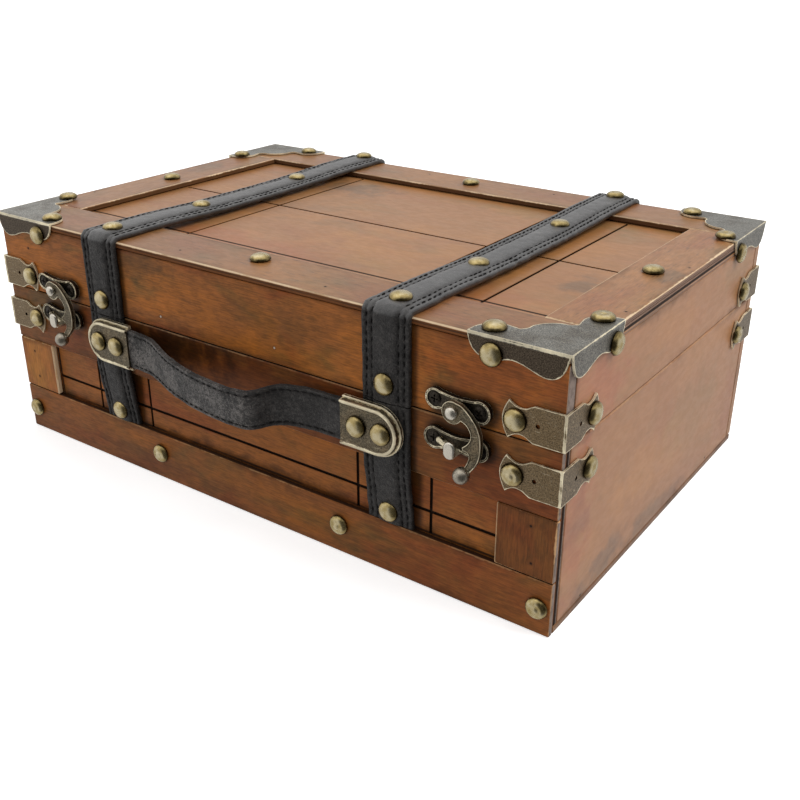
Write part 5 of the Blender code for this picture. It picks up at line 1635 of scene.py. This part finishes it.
HANDLE_Z = sum(corner.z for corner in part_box("handle_plate_right")) / 2
HANDLE_WIDTH = 17.5 * MM
HANDLE_THICK = 2.2 * MM
HANDLE_LEVEL = FRONT_Y - STRAP_THICK - 2 * GAP
PLATE_INNER = STRAP_CENTRE - 18.0 * MM
PLATE_OUTER = STRAP_CENTRE + 9.2 * MM
PLATE_HALF = 10.5 * MM
HANDLE_BOW = 15.4 * MM
HANDLE_TILT = math.radians(8.0)
HANDLE_DROOP = 1.0 * MM
RIVET_STEPS = (-10.4 * MM, 1.0 * MM)
HANDLE_BOW_SHARES = (
    (-1.00, 0.0), (-0.88, 0.02), (-0.72, 0.12), (-0.42, 0.58), (-0.13, 0.87), (0.13, 0.99),
    (0.28, 1.0), (0.385, 0.93), (0.435, 0.68), (0.475, 0.40), (0.56, 0.18), (0.68, 0.06),
    (0.80, 0.01), (1.00, 0.0),
)
# Upper side of the handle strap: two flat layers with a stitched border.
HANDLE_TOP_SHARES = (
    (1.0, 0.12, 1.0), (1.0, 0.44, 1.0), (0.985, 0.50, 1.0), (1.0, 0.56, 1.0), (0.995, 0.86, 1.0),
    (0.97, 0.97, 0.0), (0.91, 1.0, 0.2), (0.85, 0.93, 0.7), (0.81, 0.84, 1.0), (0.77, 0.93, 0.7),
    (0.70, 1.0, 0.1), (0.50, 1.02, 0.0), (0.25, 1.03, 0.0), (0.0, 1.03, 0.0),
)
HANDLE_ROW_SHARES = (0.81,)
HANDLE_STITCH_SHARE = 0.96
HANDLE_STEP = 1.1 * MM
# The strap's rounded ends under the plates, as turns in degrees
HANDLE_END_TURNS = (78, 62, 46, 30, 15)
# How deep the handle puckers, and the scale of its dents
HANDLE_PUCKER = (0.10 * MM, 220.0)
# How far from an end plate the stitches stop
STITCH_CLEARANCE = 2 * MM
# How far from its middle the handle's leather is scuffed in full. Past it, on the right, fewer
# scuffs leave the leather darker: painted shade beyond the bend.
HANDLE_SHADE_START = 21 * MM
# An end plate: the step of its rim as a share of its height, then the rim from the step inwards
# (share of the flange, rise), the bead over the field (share of the sheet, rise), and its wear
PLATE_STEP_SHARE = 0.55
PLATE_STEP = ((0.9, 0.25 * MM), (0.62, 0.3 * MM), (0.45, 0.1 * MM))
PLATE_NECK_RISE = 0.3 * MM
PLATE_BEAD = ((-0.2, 0.62 * MM), (-0.9, 0.55 * MM))
PLATE_ARC_STEPS = 28
PLATE_WEAR = (0.12 * MM, 0.9 * MM)
# Half the height of the plate's open side, where its edge isn't rubbed, in millimetres
PLATE_MOUTH = 7


def handle_stations():
    """Places along the bowed handle, with its directions and its width."""
    bow = smooth_run([(u * PLATE_INNER, d * HANDLE_BOW) for u, d in HANDLE_BOW_SHARES], 8)
    full = PLATE_OUTER - PLATE_HALF
    places = even_points([Vector((-full, 0))] + bow + [Vector((full, 0))], HANDLE_STEP)
    ends = [(full + HANDLE_WIDTH / 2 * math.sin(turn), math.cos(turn))
            for turn in map(math.radians, HANDLE_END_TURNS)]
    line = [(Vector((-x, 0)), width) for x, width in ends]
    line += [(place, 1.0) for place in places]
    line += [(Vector((x, 0)), width) for x, width in reversed(ends)]
    stations = []
    for index, (point, width) in enumerate(line):
        run = (line[min(index + 1, len(line) - 1)][0] - line[max(index - 1, 0)][0]).normalized()
        share = point.y / HANDLE_BOW
        lean = Matrix.Rotation(HANDLE_TILT * share, 3, Vector((run.x, -run.y, 0)))
        place = Vector((point.x, HANDLE_LEVEL - point.y, HANDLE_Z - HANDLE_DROOP * share))
        up = lean @ Vector((-run.y, -run.x, 0))
        stations.append((place, lean @ Vector((0, 0, 1)), up, width))
    return stations


def plate_outline(bend, reach):
    """An end plate's D, from its open side round the bend and back."""
    run = [Vector((PLATE_INNER, -reach))]
    run += arc((bend, 0), reach, -math.pi / 2, math.pi / 2, PLATE_ARC_STEPS)
    return run + [Vector((PLATE_INNER, reach))]


def handle_plate(side):
    """One end plate: a D-shaped field inside a stepped, beaded rim."""
    wall = HANDLE_WIDTH / 2 + GAP
    bend = PLATE_OUTER - PLATE_HALF
    path = plate_outline(bend, wall)
    top = HANDLE_THICK + GAP
    field = top + SHEET_THICK
    flange = PLATE_HALF - wall
    step = top * PLATE_STEP_SHARE
    section = [(0, 0), (flange, 0), (flange, step)]
    section += [(flange * across, step + rise) for across, rise in PLATE_STEP]
    section += [(flange * 0.34, field * 0.8), (flange * 0.2, field + PLATE_NECK_RISE)]
    section += [(SHEET_THICK * across, field + rise) for across, rise in PLATE_BEAD]
    section += [(-SHEET_THICK * 1.5, field), (-SHEET_THICK * 1.6, top), (0, top)]
    stations = []
    for index, point in enumerate(path):
        out = Vector((side * (point.x - bend), 0, point.y)).normalized()
        if index in (0, len(path) - 1):
            out = Vector((0, 0, math.copysign(1, point.y)))
        place = Vector((side * point.x, HANDLE_LEVEL, HANDLE_Z + point.y))
        stations.append((place, out, Vector((0, -1, 0)), 1.0))
    piece = swept(section, stations, "rim")
    points = [(side * point.x, point.y) for point in plate_outline(bend, wall - SHEET_THICK)]
    sheet = plate(points if side > 0 else list(reversed(points)), top, field)
    sheet.matrix_world = face_frame("front", (0, HANDLE_LEVEL, HANDLE_Z))
    unite(piece, settle(sheet, "field"))
    mouth = [Vector((side * PLATE_INNER, HANDLE_LEVEL - field, HANDLE_Z + step * MM))
             for step in range(-PLATE_MOUTH, PLATE_MOUTH + 1)]
    age_rims(piece, *PLATE_WEAR, 40.0, mouth)
    return piece, field


class SUITCASE_OT_handle(bpy.types.Operator):
    """Leather carrying handle with its riveted end plates"""
    bl_idname = "suitcase.handle"
    bl_label = "Handle"

    def execute(self, context):
        stations = handle_stations()
        section, seams = strap_section(HANDLE_WIDTH, HANDLE_THICK, HANDLE_TOP_SHARES)
        strap = swept(section, stations, "carrying_handle", seams)
        pucker(strap, *HANDLE_PUCKER)
        dress(strap, "handle_leather", "case_body", ("handle_strap",), 60.0)
        bare = [station for station in stations
                if abs(station[0].x) < PLATE_INNER - STITCH_CLEARANCE]
        rows = [side * share for share in HANDLE_ROW_SHARES for side in (-1, 1)]
        level = HANDLE_THICK * HANDLE_STITCH_SHARE
        add_stitches("carrying_handle_stitches", bare, rows, HANDLE_WIDTH, level, "case_body")
        for side, sign in SIDES.items():
            piece, field = handle_plate(sign)
            settle(piece, f"{side}_handle_end_plate")
            dress(piece, "plate_bronze", "case_body", (f"handle_plate_{side}",), 40.0)
            rivets = [face_frame("front",
                                 (sign * (STRAP_CENTRE + step), HANDLE_LEVEL - field, HANDLE_Z))
                      for step in RIVET_STEPS]
            add_nails(f"{side}_handle_rivets", rivets, "case_body")
        return {"FINISHED"}


# Latches

LATCH_PLATE_THICK = 1.5 * MM
LATCH_RIM_HEIGHT = 0.6 * MM
LOBE_REACH = 9.3 * MM
LOBE_RADIUS = 4.4 * MM
LEFT_LOBE_RADIUS = 4.0 * MM
LATCH_WAIST = 3.6 * MM
KEEPER_Z = BODY_TOP - 8.0 * MM
HOOK_REACH = 22.8 * MM
HOOK_THICK = 2.2 * MM
HOOK_HUB = 4.3 * MM
HOOK_LEVEL = GAP + LATCH_PLATE_THICK + LATCH_RIM_HEIGHT + 3 * GAP
BALL_RADIUS = 3.2 * MM
BALL_RISE = 3.7 * MM
HOOK_REST_TURN = math.radians(6.0)
HOOK_ENGAGED_TURN = math.radians(-12.5)
HOOK_OUTER_SHARES = (
    (0.18, 0.135), (0.28, 0.045), (0.38, -0.085), (0.44, -0.19), (0.478, -0.34),
    (0.478, -0.50), (0.452, -0.65), (0.395, -0.80), (0.325, -0.90), (0.25, -0.975),
)
HOOK_NECK_SHARES = (
    (0.15, -0.93), (0.215, -0.83), (0.24, -0.76), (0.26, -0.70), (0.242, -0.645), (0.19, -0.62),
    (0.15, -0.61),
)
HOOK_INNER_SHARES = (
    (0.14, -0.56), (0.232, -0.495), (0.298, -0.408), (0.315, -0.325), (0.298, -0.263),
    (0.263, -0.197),
    (0.215, -0.149),
)
BALL_SHARES = (0.175, -0.982)
NOTCH_SHARES = (0.189, -0.71)
POST_HEAD = (4.8 * MM, 6.9 * MM, 1.8 * MM)
POST_HEAD_SHIFT = 0.5 * MM
POST_HEAD_ROUND = 0.78 * MM
POST_RADIUS = 1.2 * MM
# A cast plate's raised rim: its width, and the width of its slope
LATCH_RIM = (0.75 * MM, 0.3 * MM)
LATCH_WEAR = (0.2 * MM, 0.7 * MM, 45.0)
# The pivot rivet: its radius, and its head's profile as (radius, rise)
PIVOT_RADIUS = 1.55 * MM
PIVOT_HEAD = ((2.45 * MM, 0.0), (2.45 * MM, 0.4 * MM), (2.25 * MM, 0.95 * MM), (1.7 * MM, 1.4 * MM),
              (0.9 * MM, 1.68 * MM), (0.3 * MM, 1.75 * MM))
BOSS_SHARE = 0.8
# The hook: its bore, its rounding and cells, where its tail starts to bend and in how many steps
HOOK_BORE = 1.8 * MM
HOOK_ROUND = 0.45 * MM
HOOK_CELL = 0.6 * MM
TAIL_START_SHARE, TAIL_RISE_SHARE = 0.76, 0.7
TAIL_STEPS = 6
# The catch's tongue: how far it starts inside the left lobe, its half width, height and rounding,
# and its half widths at its ends as shares
TONGUE_START, TONGUE_HALF = 2.6 * MM, 1.0 * MM
TONGUE_HEIGHT, TONGUE_ROUND = 1.9 * MM, 0.75 * MM
TONGUE_SHARES = (1.15, 0.9)
# How far above a plate's sunk face the black of its recess ends, and how far above it screws lie
RECESS_RISE = 0.15 * MM
SCREW_STAND = 0.1 * MM


def lobed_outline(left, left_radius, right, right_radius, waist_high, waist_low):
    """A dog-bone outline of two round lobes and a smooth waist."""
    left_arc = arc(left, left_radius, math.radians(62), math.radians(298), 18)
    right_arc = arc(right, right_radius, math.radians(-118), math.radians(118), 18)
    middle = (left[0] + right[0]) / 2
    low = smooth_run([left_arc[-2], left_arc[-1], (middle, waist_low), right_arc[0], right_arc[1]],
                     4)[4:-4]
    high = smooth_run([right_arc[-2], right_arc[-1], (middle, waist_high), left_arc[0],
                       left_arc[1]], 4)[4:-4]
    return left_arc[:-1] + low + right_arc[1:-1] + high[:-1]


def cast_plate(points):
    """A plate with a raised rim: the face inside the rim is pressed in."""
    high = GAP + LATCH_PLATE_THICK + LATCH_RIM_HEIGHT
    piece = plate(points, GAP, high)
    shape = bmesh.new()
    shape.from_mesh(piece.data)
    top = max(shape.faces, key=lambda face: face.calc_center_median().z)
    for width, depth in zip(LATCH_RIM, (0.0, -LATCH_RIM_HEIGHT)):
        bmesh.ops.inset_region(shape, faces=[top], thickness=width, depth=depth,
                               use_even_offset=True)
    shape.to_mesh(piece.data)
    shape.free()
    return piece


def mark_cast(piece, is_polished):
    """Black recesses and bright heads of a cast plate that still lies flat."""
    face = GAP + LATCH_PLATE_THICK + RECESS_RISE
    set_field(piece, "stain_and_shade", lambda spot: 0.9 * (spot.z < face))
    set_field(piece, "polish", lambda spot: float(is_polished(spot)))


def add_screws(name, frame_matrix, spots, body):
    """Screws on a latch plate, each with its recess turned another way."""
    level = GAP + LATCH_PLATE_THICK + SCREW_STAND
    places = []
    for x, y in spots:
        turn = Matrix.Rotation(0.5 + x * 60, 4, "Z")
        places.append(frame_matrix @ Matrix.Translation((x, y, level)) @ turn)
    screws = copies(screw_pattern(), places, name)
    return dress(screws, "screw_steel", body, (), 32.0)


def add_hook_plate(side, pivot):
    """A hook's plate on the lid, with the rivet that the hook turns on."""
    matrix = face_frame("front", pivot)
    left = (-LOBE_REACH, LOBE_RADIUS * 0.43)
    right = (LOBE_REACH, LOBE_RADIUS * 0.27)
    waist = (left[1] + LATCH_WAIST * 0.72, left[1] - LATCH_WAIST)
    piece = cast_plate(lobed_outline(left, LEFT_LOBE_RADIUS, right, LOBE_RADIUS, *waist))
    face = GAP + LATCH_PLATE_THICK
    head = HOOK_LEVEL + HOOK_THICK + GAP
    boss = HOOK_HUB * BOSS_SHARE
    rivet = [(boss, face - GAP), (boss, HOOK_LEVEL - GAP), (PIVOT_RADIUS, HOOK_LEVEL - GAP),
             (PIVOT_RADIUS, head)]
    rivet += [(radius, head + rise) for radius, rise in PIVOT_HEAD]
    unite(piece, turned(rivet))
    age_rims(piece, *LATCH_WEAR)
    mark_cast(piece, lambda spot: spot.z > head - 0.1 * MM)
    piece.matrix_world = matrix
    settle(piece, f"{side}_hook_plate")
    dress(piece, "cast_bronze", "lid", (f"hook_plate_{side}",), 34.0)
    add_screws(f"{side}_hook_plate_screws", matrix, (left, right), "lid")


def hook_spot(share, turn=0.0):
    return Matrix.Rotation(turn, 2) @ (Vector(share) * HOOK_REACH)


def hook_rise(spot, start):
    """The hook's tail bends outwards past its start."""
    past = max(-spot.y - start, 0) / (HOOK_REACH - start)
    return Vector((spot.x, spot.y, spot.z + BALL_RISE * min(past, 1.0) * TAIL_RISE_SHARE))


def add_hook(side, pivot):
    """A crescent hook with its hub, its notch and spur, and its ball end."""
    hub = arc((0, 0), HOOK_HUB, math.radians(-38), math.radians(-297), 26)
    points = [hub[-1]] + [hook_spot(share) for share in HOOK_OUTER_SHARES]
    outer = smooth_run(points, 4)[1:]
    neck = smooth_run([hook_spot(share) for share in HOOK_NECK_SHARES], 4)
    inner = smooth_run([hook_spot(share) for share in HOOK_INNER_SHARES] + [hub[0]], 4)[:-1]
    outline = hub + outer + neck + inner
    piece = plate(outline, HOOK_LEVEL, HOOK_LEVEL + HOOK_THICK)
    bore = turned([(HOOK_BORE, HOOK_LEVEL - GAP), (HOOK_BORE, HOOK_LEVEL + HOOK_THICK + GAP)], 24)
    carve(piece, bore)
    start = TAIL_START_SHARE * HOOK_REACH
    select_only(piece)
    bpy.ops.object.mode_set(mode="EDIT")
    for k in range(TAIL_STEPS):
        bpy.ops.mesh.select_all(action="SELECT")
        line = start + (HOOK_REACH - start) * k / TAIL_STEPS
        bpy.ops.mesh.bisect(plane_co=(0, -line, 0), plane_no=(0, 1, 0))
    bpy.ops.object.mode_set(mode="OBJECT")
    points = rim_points(piece)
    round_edges(piece, HOOK_ROUND, 3, 50.0)
    rim_distance = distance_from([hook_rise(point, start) for point in points])
    for vert in piece.data.vertices:
        vert.co = hook_rise(vert.co, start)
    deselect_all()
    bpy.ops.mesh.primitive_uv_sphere_add(segments=28, ring_count=18, radius=BALL_RADIUS)
    ball = bpy.context.object
    spot = hook_spot(BALL_SHARES)
    ball.location = (spot.x, spot.y, HOOK_LEVEL + HOOK_THICK / 2 + BALL_RISE)
    middle = Vector(ball.location)
    unite(piece, settle(ball, "ball"))
    grid_cut(piece, HOOK_CELL)
    set_field(piece, "rim", rim_distance)
    set_field(piece, "polish", lambda spot: 0.4 * ((spot - middle).length < BALL_RADIUS + 0.1 * MM))
    piece.matrix_world = face_frame("front", pivot) @ Matrix.Rotation(HOOK_REST_TURN, 4, "Z")
    settle(piece, f"{side}_swing_hook")
    dress(piece, "hook_bronze", f"{side}_hook", (f"hook_{side}",), 45.0)


def add_catch(side, pivot):
    """A catch plate with its tongue, and the post and head that the hook's notch closes round."""
    matrix = face_frame("front", (pivot.x, FRONT_Y, KEEPER_Z))
    left, right = (-LOBE_REACH, 0), (LOBE_REACH, 0)
    piece = cast_plate(lobed_outline(left, LOBE_RADIUS, right, LOBE_RADIUS, LATCH_WAIST * 0.8,
                                     -LATCH_WAIST * 0.8))
    notch = hook_spot(NOTCH_SHARES, HOOK_ENGAGED_TURN)
    post = Vector((notch.x, notch.y + pivot.z - KEEPER_Z))
    face = GAP + LATCH_PLATE_THICK
    under = HOOK_LEVEL + HOOK_THICK + GAP
    shank = turned([(POST_RADIUS, face - GAP), (POST_RADIUS, under + GAP)], 20)
    shank.location = (post.x, post.y, 0)
    width, height, thick = POST_HEAD
    across = post.x - POST_HEAD_SHIFT
    low = (across, post.y + width / 2 * 0.55)
    high = (across, low[1] + height - width)
    points = arc(low, width / 2, math.pi, 2 * math.pi, 12) + arc(high, width / 2, 0, math.pi, 12)
    head = round_edges(plate(points, under, under + thick), POST_HEAD_ROUND, 5, 50.0)
    root = Vector((left[0] + TONGUE_START, left[1]))
    run = post - root
    aside = Vector((-run.y, run.x)).normalized() * TONGUE_HALF
    lie = math.atan2(aside.y, aside.x)
    wide, narrow = TONGUE_SHARES
    points = arc(root, aside.length * wide, lie, lie + math.pi, 10)
    points += [post - aside * narrow, post + aside * narrow]
    tongue = round_edges(plate(points, face - GAP, face + TONGUE_HEIGHT), TONGUE_ROUND, 4, 50.0)
    age_rims(piece, *LATCH_WEAR)
    unite(piece, settle(shank, "shank"), head, tongue)
    mark_cast(piece, lambda spot: spot.z > under - 0.2 * MM)
    piece.matrix_world = matrix
    settle(piece, f"{side}_catch")
    dress(piece, "cast_bronze", "case_body", (f"catch_plate_{side}",), 34.0)
    add_screws(f"{side}_catch_screws", matrix, (left, right), "case_body")


class SUITCASE_OT_latches(bpy.types.Operator):
    """Hook plates, swinging hooks and catches"""
    bl_idname = "suitcase.latches"
    bl_label = "Hook Latches"

    def execute(self, context):
        for side in SIDES:
            pivot = JOINTS[f"{side}_hook_swing"]
            add_hook_plate(side, pivot)
            add_hook(side, pivot)
            add_catch(side, pivot)
        return {"FINISHED"}


# Hinges and free nails

class SUITCASE_OT_hinges(bpy.types.Operator):
    """Aged brass on the butt hinges at the back"""
    bl_idname = "suitcase.hinges"
    bl_label = "Hinges"

    def execute(self, context):
        for side in SIDES:
            for node in (f"hinge_lid_leaf_{side}", f"hinge_body_leaf_{side}", f"hinge_pin_{side}"):
                paint_node(node, bpy.data.materials["hinge_brass_aged"])
        return {"FINISHED"}


def paint_node(name, material):
    node = frame["nodes"][name]
    for slot in node.material_slots:
        slot.material = material


FREE_NAILS = {
    "rail_nail_far_left": ("front", "case_body"), "rail_nail_left": ("front", "case_body"),
    "rail_nail_right": ("front", "case_body"), "rail_nail_far_right": ("front", "case_body"),
    "top_nail_front": ("top", "lid"), "top_nail_back": ("top", "lid"),
    "top_nail_left": ("top", "lid"), "top_nail_right": ("top", "lid"),
}


class SUITCASE_OT_nails(bpy.types.Operator):
    """Domed nails that stand in bare wood"""
    bl_idname = "suitcase.nails"
    bl_label = "Free Nails"

    def execute(self, context):
        for node, (face, body) in FREE_NAILS.items():
            low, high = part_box(node)
            spot = (low + high) / 2
            if face == "front":
                spot.y = FRONT_Y - GAP
            else:
                spot.z = CASE_TOP + GAP
            ringed = (0,) if face == "front" else ()
            add_nails(f"domed_{node}", [face_frame(face, spot)], body, (node,), ringed)
        return {"FINISHED"}


class SUITCASE_OT_finishes(bpy.types.Operator):
    """Shared surface effects and the finishes of wood, leather and metal"""
    bl_idname = "suitcase.finishes"
    bl_label = "Finishes"

    def execute(self, context):
        leather = context.scene.suitcase_leather
        build_grain_group()
        build_edge_group()
        build_metal_group()
        build_leather_group()
        for name, finish in METALS.items():
            metal_material(name, *finish)
        nail_material("nail_brass_aged")
        leather_material("strap_leather", leather.strap_colour, amount=0.15, coat=1.0)
        leather_material("handle_leather", leather.handle_colour, amount=0.90, coat=0.0,
                         shade_start=HANDLE_SHADE_START)
        thread_material(leather)
        return {"FINISHED"}


# The wax under the top strips: how far it reaches into the seam, how far its face lies inside the
# end boards, how far it stops from the board's ends, and its play in the seam
WAX_DEPTH = 2 * MM
WAX_SINK = 0.08 * MM
WAX_INSET = 1 * MM
WAX_PLAY = 0.02 * MM


class SUITCASE_OT_boards(bpy.types.Operator):
    """Stain, grain, grooves and worn edges on the wooden boards"""
    bl_idname = "suitcase.boards"
    bl_label = "Boards"

    def execute(self, context):
        for name in BOARDS:
            paint_node(name, board_material(name, context.scene.suitcase_wood))
        for side, sign in SIDES.items():
            board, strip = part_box(f"lid_{side}_board"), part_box(f"top_{side}_strip")
            ends = sorted((sign * (HALF_LENGTH - WAX_DEPTH), sign * (HALF_LENGTH - WAX_SINK)))
            filler = block((ends[0], board[0].y + WAX_INSET, board[1].z + WAX_PLAY),
                           (ends[1], board[1].y - WAX_INSET, strip[0].z - WAX_PLAY))
            settle(filler, f"seam_wax_{side}")
            dress(filler, f"top_{side}_strip_stain", "lid")
        return {"FINISHED"}


# Stage

CAMERA_PLACE = (277.09 * MM, -371.20 * MM, 237.77 * MM)
CAMERA_AZIMUTH = math.radians(35.34)
CAMERA_ELEVATION = math.radians(25.41)
CAMERA_ROLL = math.radians(0.15)
CAMERA_LENS = 45.4
SENSOR_WIDTH = 36.0
NEAR_CLIP = 0.01
# The lamps: place and size. Both look at the middle of the case.
KEY_LAMP = ((0.95, 0.45, 1.30), 1.1)
FILL_LAMP = ((-1.3, -0.6, 0.75), 0.6)
LAMP_TARGET = (0, 0, 0.05)
FLOOR_SIZE = 12.0
FLOOR_LEVEL = -0.2 * MM
# How much the floor glows for the camera
FLOOR_GLOW = 0.60
# The room that shiny surfaces see: the way to its dark side and the way to its bright left, and
# the levels of the dark side, of the rest, and of what the left and the ceiling add
TOWARDS_CAMERA = (0.68, -0.73, 0.0)
TOWARDS_LEFT = (-0.80, -0.25, 0.55)
DARK_LEVEL, ROOM_LEVEL = 0.12, 0.74
LEFT_LEVEL, CEILING_LEVEL = 0.30, 0.55


def add_camera():
    """The camera of the photograph."""
    camera = new_object("camera", bpy.data.cameras.new("camera"))
    side = Vector((math.cos(CAMERA_AZIMUTH), math.sin(CAMERA_AZIMUTH), 0))
    back = Vector((math.sin(CAMERA_AZIMUTH) * math.cos(CAMERA_ELEVATION),
                   -math.cos(CAMERA_AZIMUTH) * math.cos(CAMERA_ELEVATION),
                   math.sin(CAMERA_ELEVATION)))
    turn = Matrix((side, back.cross(side), back)).transposed().to_4x4()
    roll = Matrix.Rotation(CAMERA_ROLL, 4, "Z")
    camera.matrix_world = Matrix.Translation(CAMERA_PLACE) @ turn @ roll
    camera.data.lens = CAMERA_LENS
    camera.data.sensor_width = SENSOR_WIDTH
    camera.data.clip_start = NEAR_CLIP
    bpy.context.scene.camera = camera


def add_area_light(name, place, size, power):
    """A square lamp that shiny surfaces don't mirror."""
    lamp = bpy.data.lights.new(name, "AREA")
    lamp.energy = power
    lamp.size = size
    light = new_object(name, lamp)
    aim = (Vector(place) - Vector(LAMP_TARGET)).to_track_quat("Z", "Y").to_matrix().to_4x4()
    light.matrix_world = Matrix.Translation(place) @ aim
    light.visible_glossy = False


def build_world(strength):
    """Even light. Shiny surfaces see a white room that is dark on the camera's side."""
    world = bpy.data.worlds.new("studio")
    bpy.context.scene.world = world
    world.use_nodes = True
    nodes = Tree(world.node_tree)
    ground = world.node_tree.nodes["Background"]
    path = nodes.add("ShaderNodeLightPath").outputs
    seen = nodes.plus(path["Is Camera Ray"], path["Is Transmission Ray"], True)
    towards = nodes.add("ShaderNodeTexCoord").outputs["Generated"]
    facing = nodes.measure("DOT_PRODUCT", towards, TOWARDS_CAMERA)
    aside = nodes.measure("DOT_PRODUCT", towards, TOWARDS_LEFT)
    above = nodes.split(towards)[2]
    room = nodes.plus(nodes.fade(facing, 0.78, 0.36, DARK_LEVEL, ROOM_LEVEL),
                      nodes.fade(aside, 0.45, 0.85, 0.0, LEFT_LEVEL))
    room = nodes.plus(room, nodes.fade(above, 0.50, 0.90, 0.0, CEILING_LEVEL))
    mirrored = nodes.times(path["Is Glossy Ray"], room)
    level = nodes.larger(seen, mirrored)
    even = nodes.times(path["Is Diffuse Ray"], strength)
    nodes.link(nodes.larger(level, even), ground.inputs["Strength"])
    ground.inputs["Color"].default_value = (1, 1, 1, 1)


def floor_material(colour):
    """A pale floor. Shiny surfaces see the room through it."""
    material, nodes, shader, place = new_material("pale_floor")
    path = nodes.add("ShaderNodeLightPath").outputs
    mottle = nodes.fade(nodes.noise(place, 3.0, 2.0), 0.3, 0.7, 0.99, 1.0)
    grey = nodes.add("ShaderNodeCombineColor", {0: mottle, 1: mottle, 2: mottle}).outputs[0]
    nodes.link(nodes.tint(colour, grey), shader.inputs["Base Color"])
    shader.inputs["Roughness"].default_value = 0.9
    shader.inputs["Specular IOR Level"].default_value = 0.1
    shader.inputs["Emission Color"].default_value = (1, 1, 1, 1)
    nodes.link(nodes.times(path["Is Camera Ray"], FLOOR_GLOW), shader.inputs["Emission Strength"])
    clear = nodes.add("ShaderNodeBsdfTransparent").outputs[0]
    chosen = nodes.add("ShaderNodeMixShader",
                       {0: path["Is Glossy Ray"], 1: shader.outputs[0], 2: clear}).outputs[0]
    nodes.link(chosen, material.node_tree.nodes["Material Output"].inputs["Surface"])
    return material


class SUITCASE_OT_stage(bpy.types.Operator):
    """Pale floor, soft studio light and the camera"""
    bl_idname = "suitcase.stage"
    bl_label = "Stage"

    def execute(self, context):
        stage = context.scene.suitcase_stage
        context.scene.view_settings.view_transform = "Standard"
        add_camera()
        deselect_all()
        bpy.ops.mesh.primitive_plane_add(size=FLOOR_SIZE, location=(0, 0, FLOOR_LEVEL))
        floor = settle(bpy.context.object, "floor")
        floor.data.materials.append(floor_material(stage.floor_colour))
        add_area_light("key_light", *KEY_LAMP, stage.key_power)
        add_area_light("fill_light", *FILL_LAMP, stage.fill_power)
        build_world(stage.sky_strength)
        return {"FINISHED"}


class SUITCASE_PT_panel(bpy.types.Panel):
    """Lists the steps that dress the case"""
    bl_idname = "SUITCASE_PT_panel"
    bl_label = "Wooden Suitcase Box"
    bl_space_type = "VIEW_3D"
    bl_region_type = "UI"
    bl_category = "Suitcase"

    def draw(self, context):
        layout = self.layout
        for operator in OPERATORS:
            layout.operator(operator.bl_idname)
        for name, settings in SETTINGS.items():
            box = layout.box()
            for key in settings.__annotations__:
                box.prop(getattr(context.scene, name), key)


OPERATORS = (SUITCASE_OT_stage, SUITCASE_OT_finishes, SUITCASE_OT_boards, SUITCASE_OT_straps,
             SUITCASE_OT_brackets, SUITCASE_OT_braces, SUITCASE_OT_handle, SUITCASE_OT_latches,
             SUITCASE_OT_hinges, SUITCASE_OT_nails)


def register():
    for settings in SETTINGS.values():
        bpy.utils.register_class(settings)
    for name, settings in SETTINGS.items():
        setattr(bpy.types.Scene, name, PointerProperty(type=settings))
    for operator in OPERATORS:
        bpy.utils.register_class(operator)
    bpy.utils.register_class(SUITCASE_PT_panel)


def unregister():
    bpy.utils.unregister_class(SUITCASE_PT_panel)
    for operator in reversed(OPERATORS):
        bpy.utils.unregister_class(operator)
    for name, settings in SETTINGS.items():
        delattr(bpy.types.Scene, name)
        bpy.utils.unregister_class(settings)


def main():
    register()
    bpy.ops.suitcase.stage()
    bpy.ops.suitcase.finishes()
    bpy.ops.suitcase.boards()
    bpy.ops.suitcase.straps()
    bpy.ops.suitcase.brackets()
    bpy.ops.suitcase.braces()
    bpy.ops.suitcase.handle()
    bpy.ops.suitcase.latches()
    bpy.ops.suitcase.hinges()
    bpy.ops.suitcase.nails()
    deselect_all()


if __name__ == "__main__":
    main()
